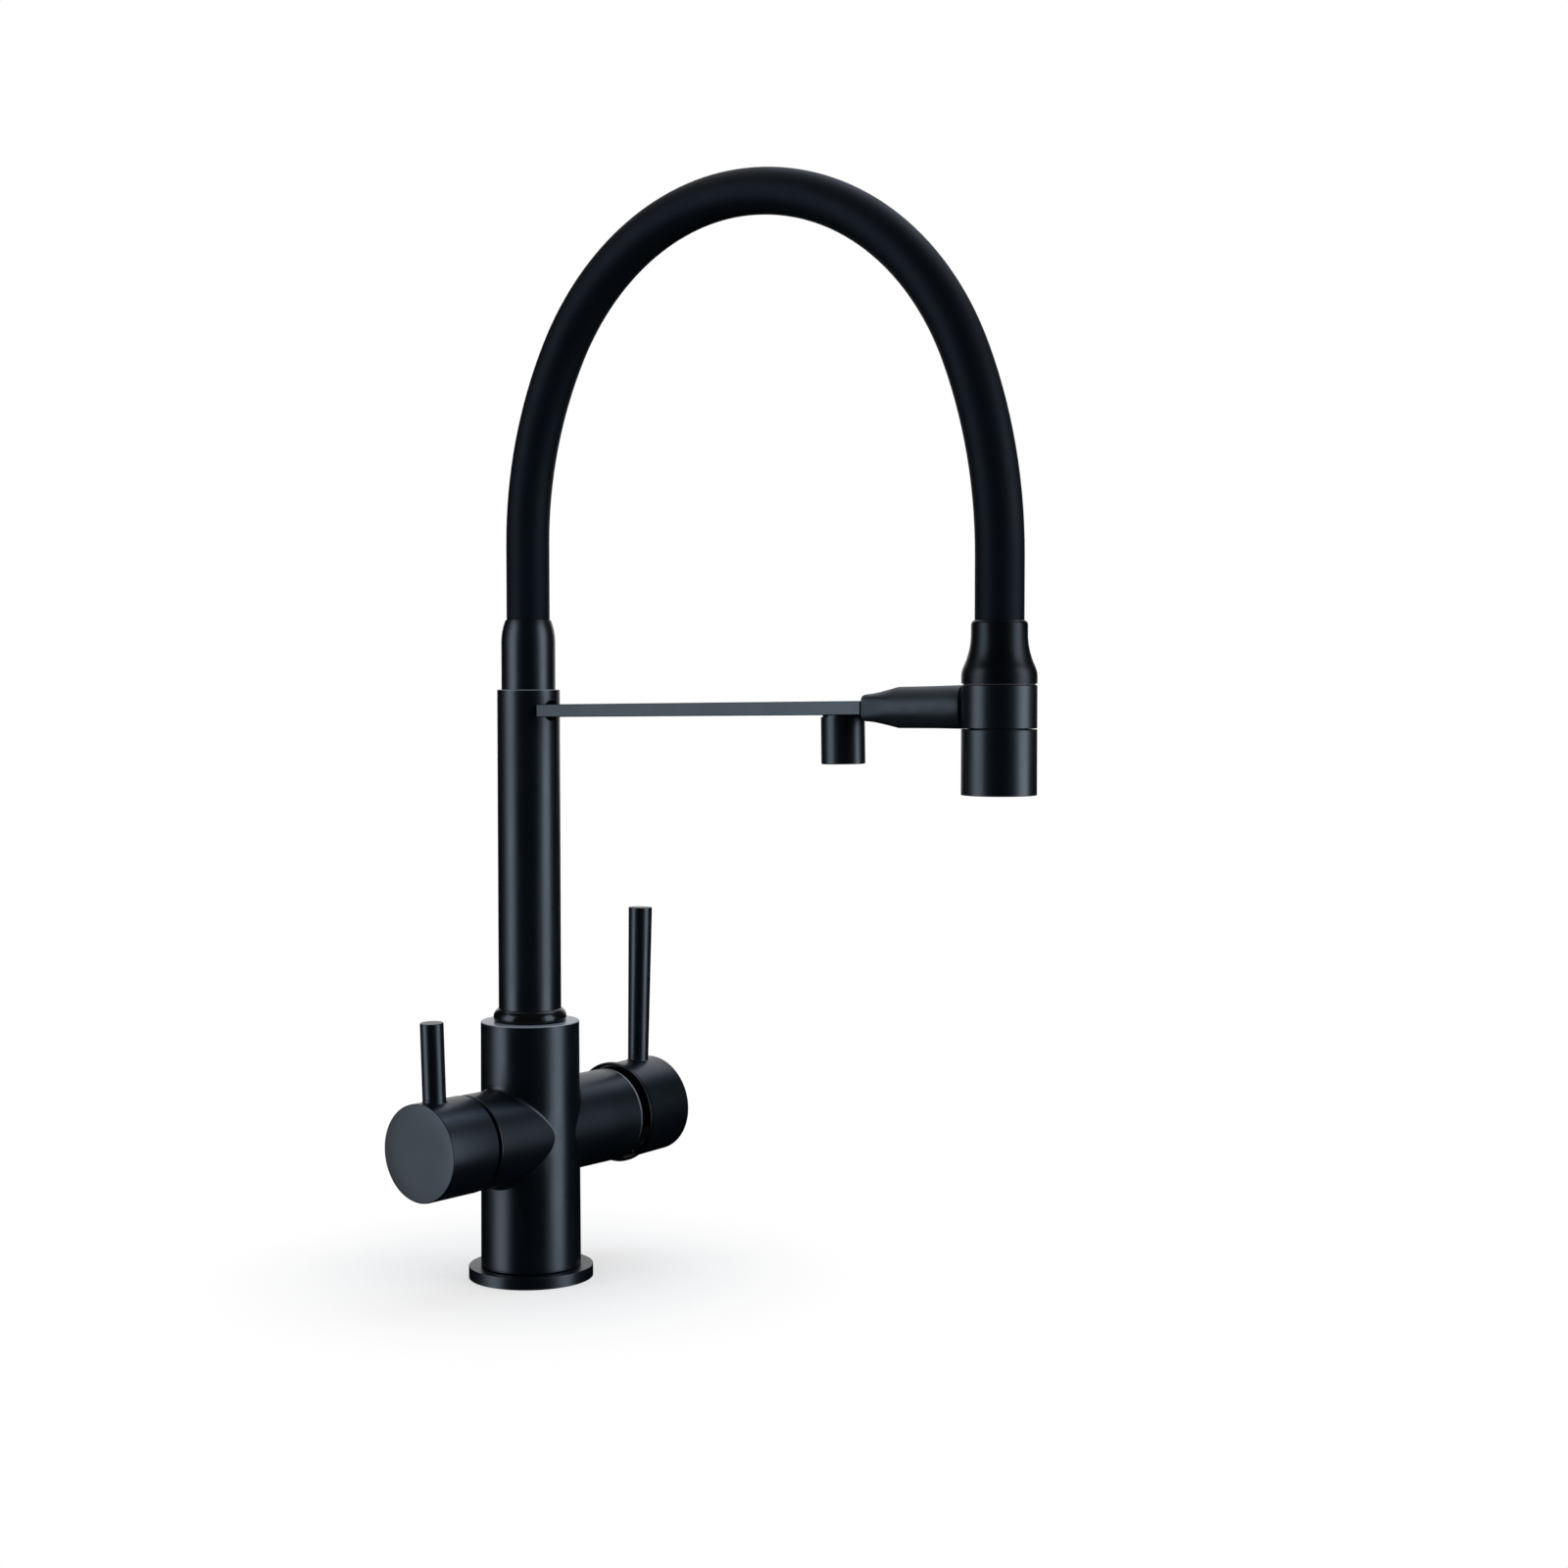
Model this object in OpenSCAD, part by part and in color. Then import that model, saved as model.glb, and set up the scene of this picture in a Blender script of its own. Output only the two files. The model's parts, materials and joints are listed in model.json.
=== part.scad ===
// Single-hole kitchen mixer tap with a swivelling riser, a bending hose spout, a spray head
// that lifts out of a dock, and a second outlet with its own valve for filtered water.
// Z is up from the deck. The spout reaches towards -Y, the filter knob is on -X and the
// mixer handle on +X. All sizes are millimetres.

/* [Deck flange] */
// Diameter of the flange that rests on the deck
flange_d = 56; // [52:0.5:70]
// Height of the flange
flange_h = 5.3; // [4.5:0.1:8]
// Chamfer on the flange's upper edge
flange_chamfer = 0.4; // [0.2:0.1:1.5]
// Depth of the rubber seal let into the flange's underside
seal_h = 2; // [1:0.1:3]
// Width of the rubber seal
seal_w = 3.5; // [2:0.1:4]

/* [Body] */
// Diameter of the body where it meets the flange
body_base_d = 45; // [44.5:0.1:48]
// Diameter of the body at its top
body_top_d = 44.2; // [42:0.1:46]
// Height of the body's top above the deck
body_top_z = 116; // [114:0.5:130]
// Chamfer on the body's edges
body_chamfer = 0.5; // [0.2:0.1:1.2]
// Diameter of the spigot that locates the flange
body_spigot_d = 38; // [36:0.5:40]
// Height of the axis of both side barrels above the deck
barrel_z = 66; // [60:0.5:68]
// Diameter of both side barrels
barrel_d = 42.6; // [41.6:0.1:43.4]
// Distance from the body's axis to the end of the filter barrel
filter_barrel_reach = 40; // [38:0.5:46]
// Distance from the body's axis to the end of the mixer barrel
mixer_barrel_reach = 53; // [51:0.5:56]

/* [Water inlets] */
// Minor diameter of the three threaded hose inlets
inlet_d = 9; // [8.5:0.1:9.5]
// Depth of the threaded inlets
inlet_depth = 12; // [8:0.5:16]
// Pitch circle of the inlets
inlet_pcd = 21.5; // [21:0.1:23]
// Minor diameter of the threaded hole for the fixing stud
stud_hole_d = 6.8; // [5:0.1:7]
// Depth of the hole for the fixing stud
stud_hole_depth = 14; // [10:0.5:20]
// Diameter of the drilled waterways in the body
waterway_d = 6; // [4:0.1:6.5]

/* [Riser] */
// Outer diameter of the riser tube
riser_d = 28; // [27:0.1:29]
// Wall of the riser tube
riser_wall = 1.2; // [1:0.1:1.5]
// Height of the riser's top above the deck
riser_top_z = 265; // [262:0.5:280]
// Thickness of the lip at the riser's top
riser_lip = 2; // [1.5:0.1:3]
// Outer diameter of the rounded ring at the riser's foot
foot_ring_d = 32.7; // [31:0.1:34]
// Radius of the rounded ring's section
foot_ring_round = 4.3; // [3.5:0.1:6]
// Height of the ring's widest place above its foot
foot_ring_belly = 1.7; // [1:0.1:3]
// Diameter of the swivel spigot inside the body
spigot_d = 24; // [23:0.1:24.6]
// Depth of the socket that the swivel spigot turns in
socket_depth = 26; // [25:0.5:28]
// Length of the spigot's neck inside the riser
spigot_neck = 18; // [12:0.5:24]
// Length of the nylon bush in the socket's mouth
bush_h = 6; // [4:0.5:7]
// Wall of the nylon bush
bush_wall = 2; // [1.5:0.1:2.5]
// Thickness of the washer flange on the nylon bush
bush_washer = 0.3; // [0.2:0.1:0.6]
// Outer diameter of the filtered-water pipe inside the riser
pipe_d = 6; // [5:0.1:6.5]
// Bore of the filtered-water pipe
pipe_bore = 4; // [3:0.1:4.5]
// Distance of the filtered-water pipe from the riser's axis
pipe_offset = 8; // [7.8:0.1:8.5]
// Bore for mixed water through the swivel spigot
mixed_bore_d = 8; // [6:0.1:8.4]

/* [Hose] */
// Outer diameter of the rubber hose
hose_d = 19.2; // [18:0.1:19.6]
// Bore of the rubber hose
hose_bore = 13.6; // [13:0.1:14.5]
// Outer diameter of the inner water hose
inner_hose_d = 12.8; // [12:0.1:13]
// Bore of the inner water hose
inner_hose_bore = 8.4; // [8:0.1:9]
// Distance from the riser's axis to the spray head's axis
reach = 250; // [240:1:280]
// Height of the hose's centre line at the top of its arch
arch_z = 471; // [450:1:500]
// Distance from the riser's axis to the top of the arch
arch_s = 121.5; // [115:0.5:135]
// Radius of the hose's gentle bend above the riser
riser_bend_r = 168; // [150:1:200]
// Angle of the gentle bend above the riser
riser_bend_angle = 30; // [20:0.5:35]
// Radius of the hose's gentle bend above the spray head
spray_bend_r = 202; // [170:1:220]
// Angle of the gentle bend above the spray head
spray_bend_angle = 23; // [18:0.5:30]
// Depth of the hose in each of its end fittings
hose_grip = 12; // [8:0.5:13]

/* [Riser ferrule] */
// Outer diameter of the ferrule that holds the hose on the riser
ferrule_d = 24.1; // [23.5:0.1:25]
// Length of the ferrule
ferrule_h = 31; // [28:0.5:36]
// Height of the ferrule's rounded shoulder
ferrule_shoulder_h = 10; // [6:0.5:12]
// Outer diameter of the ferrule's mouth round the hose
ferrule_mouth_d = 20.3; // [20:0.1:22]
// Diameter of the riser head's neck inside the ferrule
neck_d = 19; // [17:0.1:20]
// Length of the riser head's neck above the riser
neck_h = 12; // [8:0.5:14]

/* [Arm] */
// Height of the arm's centre line at the riser's axis
arm_z = 255.5; // [252:0.1:256]
// Upward slope of the arm in degrees
arm_rise = 0.93; // [0:0.01:1.5]
// Width of the flat arm
arm_w = 18; // [16:0.1:20]
// Thickness of the flat arm
arm_t = 5.6; // [5.2:0.1:7]
// Diameter of the spigot that fixes the arm in the riser head
arm_spigot_d = 9; // [8:0.1:10]
// Length of the arm's spigot inside the riser's wall
arm_spigot_l = 5; // [4:0.1:5.5]
// Diameter of the waterway along the arm
arm_bore = 3; // [2:0.1:3.4]
// Width of the tongue that fixes the arm in the dock
arm_tongue_w = 12; // [8:0.1:13]
// Length of the tongue that fixes the arm in the dock
arm_tongue_l = 8; // [5:0.1:12]
// Width of the joint line between the arm and the dock
arm_joint = 0.3; // [0.1:0.1:0.6]

/* [Filter outlet] */
// Distance from the dock's square root back to the filtered-water outlet's axis
outlet_inset = 15.5; // [14.5:0.5:26]
// Outer diameter of the outlet
outlet_d = 17.9; // [16:0.1:18.5]
// Length of the outlet below the arm
outlet_h = 19.8; // [17:0.1:25]
// Depth of the shadow groove under the arm
outlet_groove = 0.7; // [0.4:0.1:1.2]
// Height of the shadow groove under the arm
outlet_groove_h = 0.8; // [0.4:0.1:1.5]
// Depth of the aerator in the outlet
outlet_aerator_h = 7; // [5:0.1:9]

/* [Dock] */
// Length of the dock, from the spray head's axis back to its square root
dock_l = 59.5; // [55:0.5:62]
// Height of the dock's square root
dock_root_t = 11; // [9.5:0.1:12]
// Corner radius of the dock's square root
dock_root_r = 2.6; // [1.5:0.1:4]
// Length over which the dock changes from square to round
dock_root_l = 15.5; // [11.5:0.5:19.5]
// Diameter of the dock where it becomes round
dock_round_d = 16.3; // [15:0.1:17]
// Diameter of the dock at its end
dock_end_d = 17.1; // [16:0.1:18]
// Gap between the dock's hollow end and the collar
dock_gap = 1.2; // [0.8:0.1:2]
// Thickness of the rubber pad at its thinnest, towards the spray head
pad_t = 2.4; // [1.5:0.1:4]
// Diameter of the rubber pad
pad_d = 14.6; // [12:0.1:16]
// Diameter of the magnet behind the pad
magnet_d = 11; // [8:0.1:12]
// Thickness of the magnet
magnet_t = 4; // [2:0.1:6]

/* [Spray head] */
// Outer diameter of the spray head
spray_d = 29.4; // [29:0.1:31]
// Height of the spray head's underside above the deck
spray_bottom_z = 225.4; // [220:0.1:230]
// Height of the nozzle
nozzle_h = 25.4; // [22:0.1:28]
// Height of the collar that meets the dock
collar_h = 17.2; // [15:0.1:20]
// Height of the bell above the collar
bell_h = 25; // [24:0.1:30]
// Outer diameter of the bell's neck
bell_neck_d = 22; // [21.8:0.1:23]
// Length of the bell's straight neck
bell_neck_h = 5.3; // [4:0.1:7]
// Radius of the bell's shoulder above its rim
bell_shoulder_r = 10; // [6:0.5:14]
// Steepest slope of the bell's side in degrees, measured from upright
bell_slope = 25; // [24:0.5:32]
// Rounding of the bell's mouth
bell_mouth_r = 2; // [0.5:0.1:2.5]
// Length of the thread that fixes the bell on the core
bell_thread_h = 6; // [4:0.5:8]
// Height of the joint grooves between the spray head's pieces
groove_h = 0.4; // [0.2:0.1:0.8]
// Wall of the collar and the nozzle
spray_wall = 1.6; // [1.2:0.1:2]
// Diameter of the waterway core in the collar
core_d = 23.2; // [21:0.1:23.6]
// Diameter of the journal that the nozzle turns on
journal_d = 20; // [18:0.1:21]
// Length of the journal inside the nozzle
journal_h = 12; // [10:0.5:14]
// Outer diameter of the check valve in the core
check_valve_d = 12; // [10:0.1:13]
// Length of the check valve
check_valve_h = 10; // [8:0.5:12]
// Thickness of the spray face
face_t = 3; // [2:0.1:4]
// Recess of the spray face in the nozzle
face_recess = 0.6; // [0.3:0.1:1.5]
// Diameter of the central stream outlet
stream_d = 9; // [8:0.1:10]
// Diameter of each spray hole
spray_hole_d = 1.6; // [1.2:0.1:1.8]
// Number of rings of spray holes
spray_rings = 2; // [1:1:2]

/* [Filter knob] */
// Diameter of the filter knob
knob_d = 43; // [42:0.1:44]
// Distance from the body's axis to the knob's outer face
knob_face_s = 69.1; // [67:0.1:72]
// Gap between the filter barrel and its knob
knob_gap = 2; // [0.3:0.1:2.5]
// Chamfer round the knob's outer face
knob_chamfer = 0.5; // [0.2:0.1:1.5]
// Depth of the hollow in the knob's back
knob_hollow = 9; // [6:0.5:11]
// Distance from the body's axis to the filter lever
filter_lever_s = 59.7; // [58.5:0.1:61]
// Diameter of the filter lever
filter_lever_d = 10.2; // [8:0.1:11]
// Height of the filter lever's top above the deck
filter_lever_top_z = 121.8; // [110:0.5:135]
// Outward lean of the filter lever in degrees
filter_lever_lean = 2.2; // [0:0.1:4]
// Diameter of the threaded stub at each lever's foot
lever_stub_d = 5; // [4:0.1:6]
// Length of the threaded stub at each lever's foot
lever_stub_l = 6; // [4:0.1:7]
// Depth that each lever's foot is let into its handle
lever_seat = 1; // [0.8:0.1:1.2]
// Diameter of the filter valve's spindle
spindle_d = 8; // [7:0.1:9]
// Length of the spindle inside the knob
spindle_grip = 10; // [8:0.5:11]
// Diameter of the grub screws in both handles
grub_d = 4; // [3:0.5:5]

/* [Filter valve] */
// Diameter of the filter valve's threaded headwork
valve_d = 18.6; // [17:0.1:20]
// Depth of the valve's seat, measured from the body's axis
valve_seat_s = 15; // [14.5:0.1:16]
// Diameter of the valve's nose
valve_nose_d = 14; // [12:0.1:15]
// Length of the valve's nose
valve_nose_l = 9; // [7:0.1:10]
// Width across corners of the valve's hexagon outside the barrel
valve_hex_d = 23; // [22:0.1:26]
// Length of the valve's hexagon
valve_hex_l = 5; // [3:0.1:6]
// Thickness of the sealing washer under the hexagon
valve_washer_t = 1; // [0.8:0.1:1.5]

/* [Mixer cartridge] */
// Diameter of the ceramic mixing cartridge
cartridge_d = 35; // [34.5:0.1:35.4]
// Distance from the body's axis to the floor of the cartridge's cavity
cartridge_floor_s = 13; // [12.5:0.1:15]
// Thickness of the housing under the ceramic disc
cartridge_base_h = 12; // [10:0.5:14]
// Thickness of the fixed ceramic disc
disc_t = 4; // [3:0.1:5]
// Thread diameter of the nut that holds the cartridge
nut_d = 38; // [37:0.1:38.4]
// Depth of the nut's thread in the barrel
nut_thread_l = 9; // [6:0.5:10]
// Diameter of the turning carrier in the cartridge
carrier_d = 24; // [22:0.1:25]
// Depth of the pivot that the handle lifts on inside the barrel's end
pivot_inset = 7.5; // [6:0.5:9]
// Diameter of the pivot pin
pivot_d = 3; // [2.5:0.1:4]
// Width of the cartridge's stem
stem_w = 8; // [7:0.1:9]
// Length of the stem beyond its pivot
stem_l = 27; // [22:0.5:29]

/* [Mixer handle] */
// Diameter of the handle cap
cap_d = 44.8; // [44:0.1:46]
// Diameter of the rim round the cap's open end
cap_rim_d = 46.8; // [46:0.1:48]
// Width of the rim
cap_rim_w = 2.5; // [1.5:0.1:4]
// Wall of the rim, which is bored out to clear the barrel as the handle lifts
cap_rim_wall = 1.2; // [1.1:0.1:1.8]
// Gap between the barrel's end and the cap's rim
cap_gap = 2.8; // [2:0.1:5]
// Length of the handle cap
cap_l = 28.6; // [26:0.1:33]
// Chamfer round the cap's closed end
cap_chamfer = 0.6; // [0.3:0.1:1.5]
// Wall of the cap
cap_wall = 1.2; // [1:0.1:2]
// Upward tilt of the cap when it is closed, in degrees
cap_tilt = 1.8; // [0:0.1:3]
// Distance from the cap's closed end to the middle of the lever's foot
mixer_lever_inset = 10.7; // [9:0.1:13]
// Outward lean of the mixer lever in degrees
mixer_lever_lean = 1.5; // [0:0.1:4]
// Diameter of the mixer lever at its foot
mixer_lever_foot_d = 9.6; // [8:0.1:10]
// Diameter of the mixer lever at its top
mixer_lever_top_d = 11.1; // [9:0.1:11.5]
// Height of the mixer lever's top above the deck
mixer_lever_top_z = 161.5; // [140:0.5:180]

/* [Clearances] */
// Radial clearance of a running fit
run_gap = 0.05; // [0.02:0.01:0.1]
// Radial clearance of a fixed fit
seat_gap = 0.1; // [0.05:0.01:0.2]
// Gap between faces that move past each other
move_gap = 0.3; // [0.2:0.05:0.5]
// Thickness of the rubber sealing rings
seal_ring_t = 2.2; // [2:0.1:2.3]

/* [Hidden] */
$fn = 96;
// Extra length of a cutting body past the face it opens
cut = 1;
// Depth and size of the keys in the heads of the screws
key_depth = 2;
key_d = 2;
// Small chamfer that breaks a sharp edge
edge = 0.3;

body_r = body_base_d / 2;
body_top_r = body_top_d / 2;
flange_r = flange_d / 2;
barrel_r = barrel_d / 2;
waterway_r = waterway_d / 2;
inlet_r = inlet_pcd / 2;
// The hot and cold inlets stand this far to the side of the stud
inlet_angle = 60;
// Hot and cold water meet the cartridge below the barrel's axis, mixed water above it
port_drop = 6;
mixed_rise_x = 7;
seal_groove_outer_r = flange_r - 1.8;
seal_groove_inner_r = seal_groove_outer_r - seal_w;

riser_r = riser_d / 2;
riser_inner_r = riser_r - riser_wall;
riser_foot_z = body_top_z + bush_washer;
spigot_r = spigot_d / 2;
socket_r = spigot_r + run_gap;
socket_floor_z = body_top_z - socket_depth;
spigot_foot_z = socket_floor_z + move_gap;
// Heights on the spigot, from its foot: seal, water port, seal, retaining groove
seal_ring_r = seal_ring_t / 2;
lower_seal_z = spigot_foot_z + 2.4;
port_z = lower_seal_z + 4;
upper_seal_z = port_z + 4;
port_groove_h = 3;
port_groove_r = spigot_r - 1.4;
lock_z = upper_seal_z + 4.6;
lock_groove_h = 4;
lock_groove_r = spigot_r - 1.8;
lock_screw_d = 5;
lock_dog_d = lock_groove_h - 2 * move_gap;
lock_sink = 1;
seal_groove_r = spigot_r - seal_ring_t - seat_gap;
// The filter channel rises beside the swivel socket
side_channel_d = 4;
side_channel_s = spigot_r + 4.5;
port_d = 2;
head_passage_d = 3.4;
mixed_bore_y = 2.6;
neck_top_z = riser_foot_z + spigot_neck;
pipe_socket = 5;

neck_r = neck_d / 2;
lip_z = riser_top_z - riser_lip;
head_h = 24;
head_foot_z = lip_z - head_h;
ferrule_top_z = riser_top_z + ferrule_h;
hose_foot_z = ferrule_top_z - hose_grip;
// The hose tails stop this far below the mouths of their fittings
tail_sink = 2;
tail_top_z = ferrule_top_z - tail_sink;
tail_bore = 5;
tail_r = inner_hose_bore / 2 - seat_gap;

// Heights on the spray head
groove_low_z = spray_bottom_z + nozzle_h;
collar_foot_z = groove_low_z + groove_h;
collar_top_z = collar_foot_z + collar_h - groove_h;
bell_foot_z = collar_top_z + groove_h;
bell_top_z = bell_foot_z + bell_h - groove_h;
spray_hose_foot_z = bell_top_z - hose_grip;
spray_r = spray_d / 2;
spray_inner_r = spray_r - spray_wall;
core_r = core_d / 2;
core_neck_r = core_r - 1;
core_rim_h = 1.2;
joint_ring_r = spray_r - 0.8;
journal_r = journal_d / 2;
journal_foot_z = groove_low_z - journal_h;
journal_seal_z = journal_foot_z + 3.2;
check_valve_z = collar_foot_z - 2;
face_r = spray_inner_r - seat_gap;
face_z = spray_bottom_z + face_recess;
diverter_t = 3;
diverter_z = journal_foot_z - diverter_t - move_gap;
spray_tail_r = inner_hose_bore / 2 - move_gap;
bell_neck_r = bell_neck_d / 2;
bell_curve = (spray_r - bell_neck_r) / (1 - cos(bell_slope));
bell_flare_r = bell_curve - bell_shoulder_r;
bell_flare_top = bell_top_z - bell_foot_z - bell_neck_h;
bell_rim_h = bell_flare_top - bell_curve * sin(bell_slope);

// The hose's arch is four arcs: a gentle bend and a crown on each side of its top
riser_crown_r = (arch_s - riser_bend_r * (1 - cos(riser_bend_angle))) / cos(riser_bend_angle);
spray_half = reach - arch_s;
spray_crown_r = (spray_half - spray_bend_r * (1 - cos(spray_bend_angle))) / cos(spray_bend_angle);
riser_spring_z = arch_z - riser_crown_r * (1 - sin(riser_bend_angle))
    - riser_bend_r * sin(riser_bend_angle);
spray_spring_z = arch_z - spray_crown_r * (1 - sin(spray_bend_angle))
    - spray_bend_r * sin(spray_bend_angle);

// The hose's route, as [s, z, heading in degrees], in equal steps along each arc
hose_sides = 20;
riser_bend_steps = 5;
riser_crown_steps = 10;
spray_crown_steps = 11;
spray_bend_steps = 4;
arch_route = concat(
    [for (i = [0:riser_bend_steps])
        let (a = riser_bend_angle * i / riser_bend_steps)
            [riser_bend_r * (1 - cos(a)), riser_spring_z + riser_bend_r * sin(a), 90 - a]],
    [for (i = [1:riser_crown_steps])
        let (a = riser_bend_angle + (90 - riser_bend_angle) * i / riser_crown_steps)
            [arch_s - riser_crown_r * cos(a), arch_z - riser_crown_r * (1 - sin(a)), 90 - a]],
    [for (i = [1:spray_crown_steps])
        let (a = 90 - (90 - spray_bend_angle) * i / spray_crown_steps)
            [arch_s + spray_crown_r * cos(a), arch_z - spray_crown_r * (1 - sin(a)), a - 90]],
    [for (i = [1:spray_bend_steps])
        let (a = spray_bend_angle * (1 - i / spray_bend_steps))
            [reach - spray_bend_r * (1 - cos(a)), spray_spring_z + spray_bend_r * sin(a), a - 90]]
);

outlet_boss_d = 8;
outlet_boss_h = 3.2;
outlet_wall = 1.5;
pad_face_s = reach - spray_r - move_gap;
dock_end_s = pad_face_s - pad_t;
magnet_pocket_s = dock_end_s - magnet_t;
dock_lip_l = reach - dock_end_s - spray_r / 2;
dock_root_s = reach - dock_l;
dock_round_s = dock_root_s + dock_root_l;
outlet_s = dock_root_s - outlet_inset;

knob_r = knob_d / 2;
knob_wall = 4;
knob_back_s = filter_barrel_reach + knob_gap;
knob_socket_s = knob_back_s + knob_hollow;
knob_screw_s = knob_socket_s + spindle_grip / 2;
knob_screw_sink = 1.5;
valve_shoulder_s = valve_seat_s + valve_nose_l;
valve_hex_s = filter_barrel_reach + valve_washer_t;
spindle_foot_s = valve_shoulder_s + 2;

pivot_s = mixer_barrel_reach - pivot_inset;
cap_open_s = mixer_barrel_reach + cap_gap;
cap_end_s = cap_open_s + cap_l;
mixer_lever_s = cap_end_s - mixer_lever_inset;
cap_r = cap_d / 2;
cap_inner_r = cap_r - cap_wall;
cap_floor_t = 3;
cap_top_z = barrel_z + cap_r + (mixer_lever_s - pivot_s) * sin(cap_tilt);
hub_r = stem_w + 3;
hub_foot_s = mixer_lever_s - mixer_lever_foot_d / 2 - 3.5;
cap_screw_s = mixer_lever_s - 3;
cartridge_r = cartridge_d / 2;
cartridge_foot_s = cartridge_floor_s + seat_gap;
chamber_s = cartridge_foot_s + cartridge_base_h;
port_seal_r = waterway_r + 1.6;
nut_r = nut_d / 2;
nut_start_s = mixer_barrel_reach - nut_thread_l;
cartridge_top_s = nut_start_s + seat_gap;
nut_dome_h = 1.6;
nut_dome_w = 3;
carrier_r = carrier_d / 2;
carrier_foot_s = chamber_s + disc_t + move_gap;
carrier_neck_h = 4;
carrier_neck_r = carrier_r - 1;
// Centres of the cartridge's hot, cold and mixed ports, in the barrel's frame
cartridge_ports = [
    [port_drop, inlet_r * sin(inlet_angle)],
    [port_drop, -inlet_r * sin(inlet_angle)],
    [-port_drop, 0],
];
// The ports of the ceramic disc lie nearer its centre
disc_port_share = 0.75;

body_black = [0.10, 0.105, 0.115];
hose_black = [0.06, 0.07, 0.07];
rubber_black = [0.05, 0.05, 0.05];
gloss_black = [0.03, 0.03, 0.035];
brass_tone = [0.78, 0.62, 0.33];
steel_tone = [0.68, 0.69, 0.70];
nylon_tone = [0.86, 0.85, 0.80];
ceramic_tone = [0.93, 0.93, 0.91];

// A ring standing on the current plane
module ring(outer_r, inner_r, h) {
    difference() {
        cylinder(r = outer_r, h = h);
        translate([0, 0, -cut]) cylinder(r = inner_r, h = h + 2 * cut);
    }
}

// A round bar with a chamfer at its far end
module chamfered_bar(r, h, chamfer) {
    rotate_extrude()
        polygon([[0, 0], [r, 0], [r, h - chamfer], [r - chamfer, h], [0, h]]);
}

// A rubber ring with a round section
module seal_ring(centre_r, section_r) {
    rotate_extrude() translate([centre_r, 0]) circle(r = section_r);
}

// Places things along the mixer barrel: local Z points to +X and local -X points up
module mixer_axis() {
    translate([0, 0, barrel_z]) rotate([0, 90, 0]) children();
}

// Places things along the filter barrel: local Z points to -X and local X points up
module filter_axis() {
    translate([0, 0, barrel_z]) rotate([0, -90, 0]) children();
}

// Places things in the handle's own frame, tilted about the lift pivot
module handle_axis() {
    translate([pivot_s, 0, barrel_z]) rotate([0, -cap_tilt, 0])
        translate([-pivot_s, 0, 0]) rotate([0, 90, 0]) children();
}

// Places things along the arm: local -Y runs out along it, local Z is square to it
module arm_axis() {
    translate([0, 0, arm_z]) rotate([-arm_rise, 0, 0]) children();
}

// Places things on the spray head's axis
module spray_axis() {
    translate([0, -reach, 0]) children();
}

// Flange and its seal
module flange() {
    color(body_black) difference() {
        chamfered_bar(flange_r, flange_h, flange_chamfer);
        translate([0, 0, -cut])
            cylinder(r = body_spigot_d / 2 + seat_gap, h = flange_h + 2 * cut);
        translate([0, 0, -cut]) ring(seal_groove_outer_r, seal_groove_inner_r, seal_h + cut);
    }
}

module flange_seal() {
    color(rubber_black)
        ring(seal_groove_outer_r - seat_gap, seal_groove_inner_r + seat_gap, seal_h - seat_gap);
}

// Body casting: column, two barrels, cavities and drilled waterways
module body_solid() {
    column_h = body_top_z - flange_h;
    cylinder(r = body_spigot_d / 2, h = flange_h + cut);
    translate([0, 0, flange_h]) rotate_extrude() polygon([
        [0, 0],
        [body_r - body_chamfer, 0],
        [body_r, body_chamfer],
        [body_top_r, column_h - body_chamfer],
        [body_top_r - body_chamfer, column_h],
        [0, column_h],
    ]);
    filter_axis() chamfered_bar(barrel_r, filter_barrel_reach, 2 * body_chamfer);
    mixer_axis() chamfered_bar(barrel_r, mixer_barrel_reach, 2 * body_chamfer);
}

// Threaded inlets under the body, with the channel that rises from each
module inlet_cut(angle, top_z) {
    rotate([0, 0, angle]) translate([inlet_r, 0, -cut]) {
        cylinder(d = inlet_d, h = inlet_depth + cut);
        cylinder(r = waterway_r, h = top_z + cut);
    }
}

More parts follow.
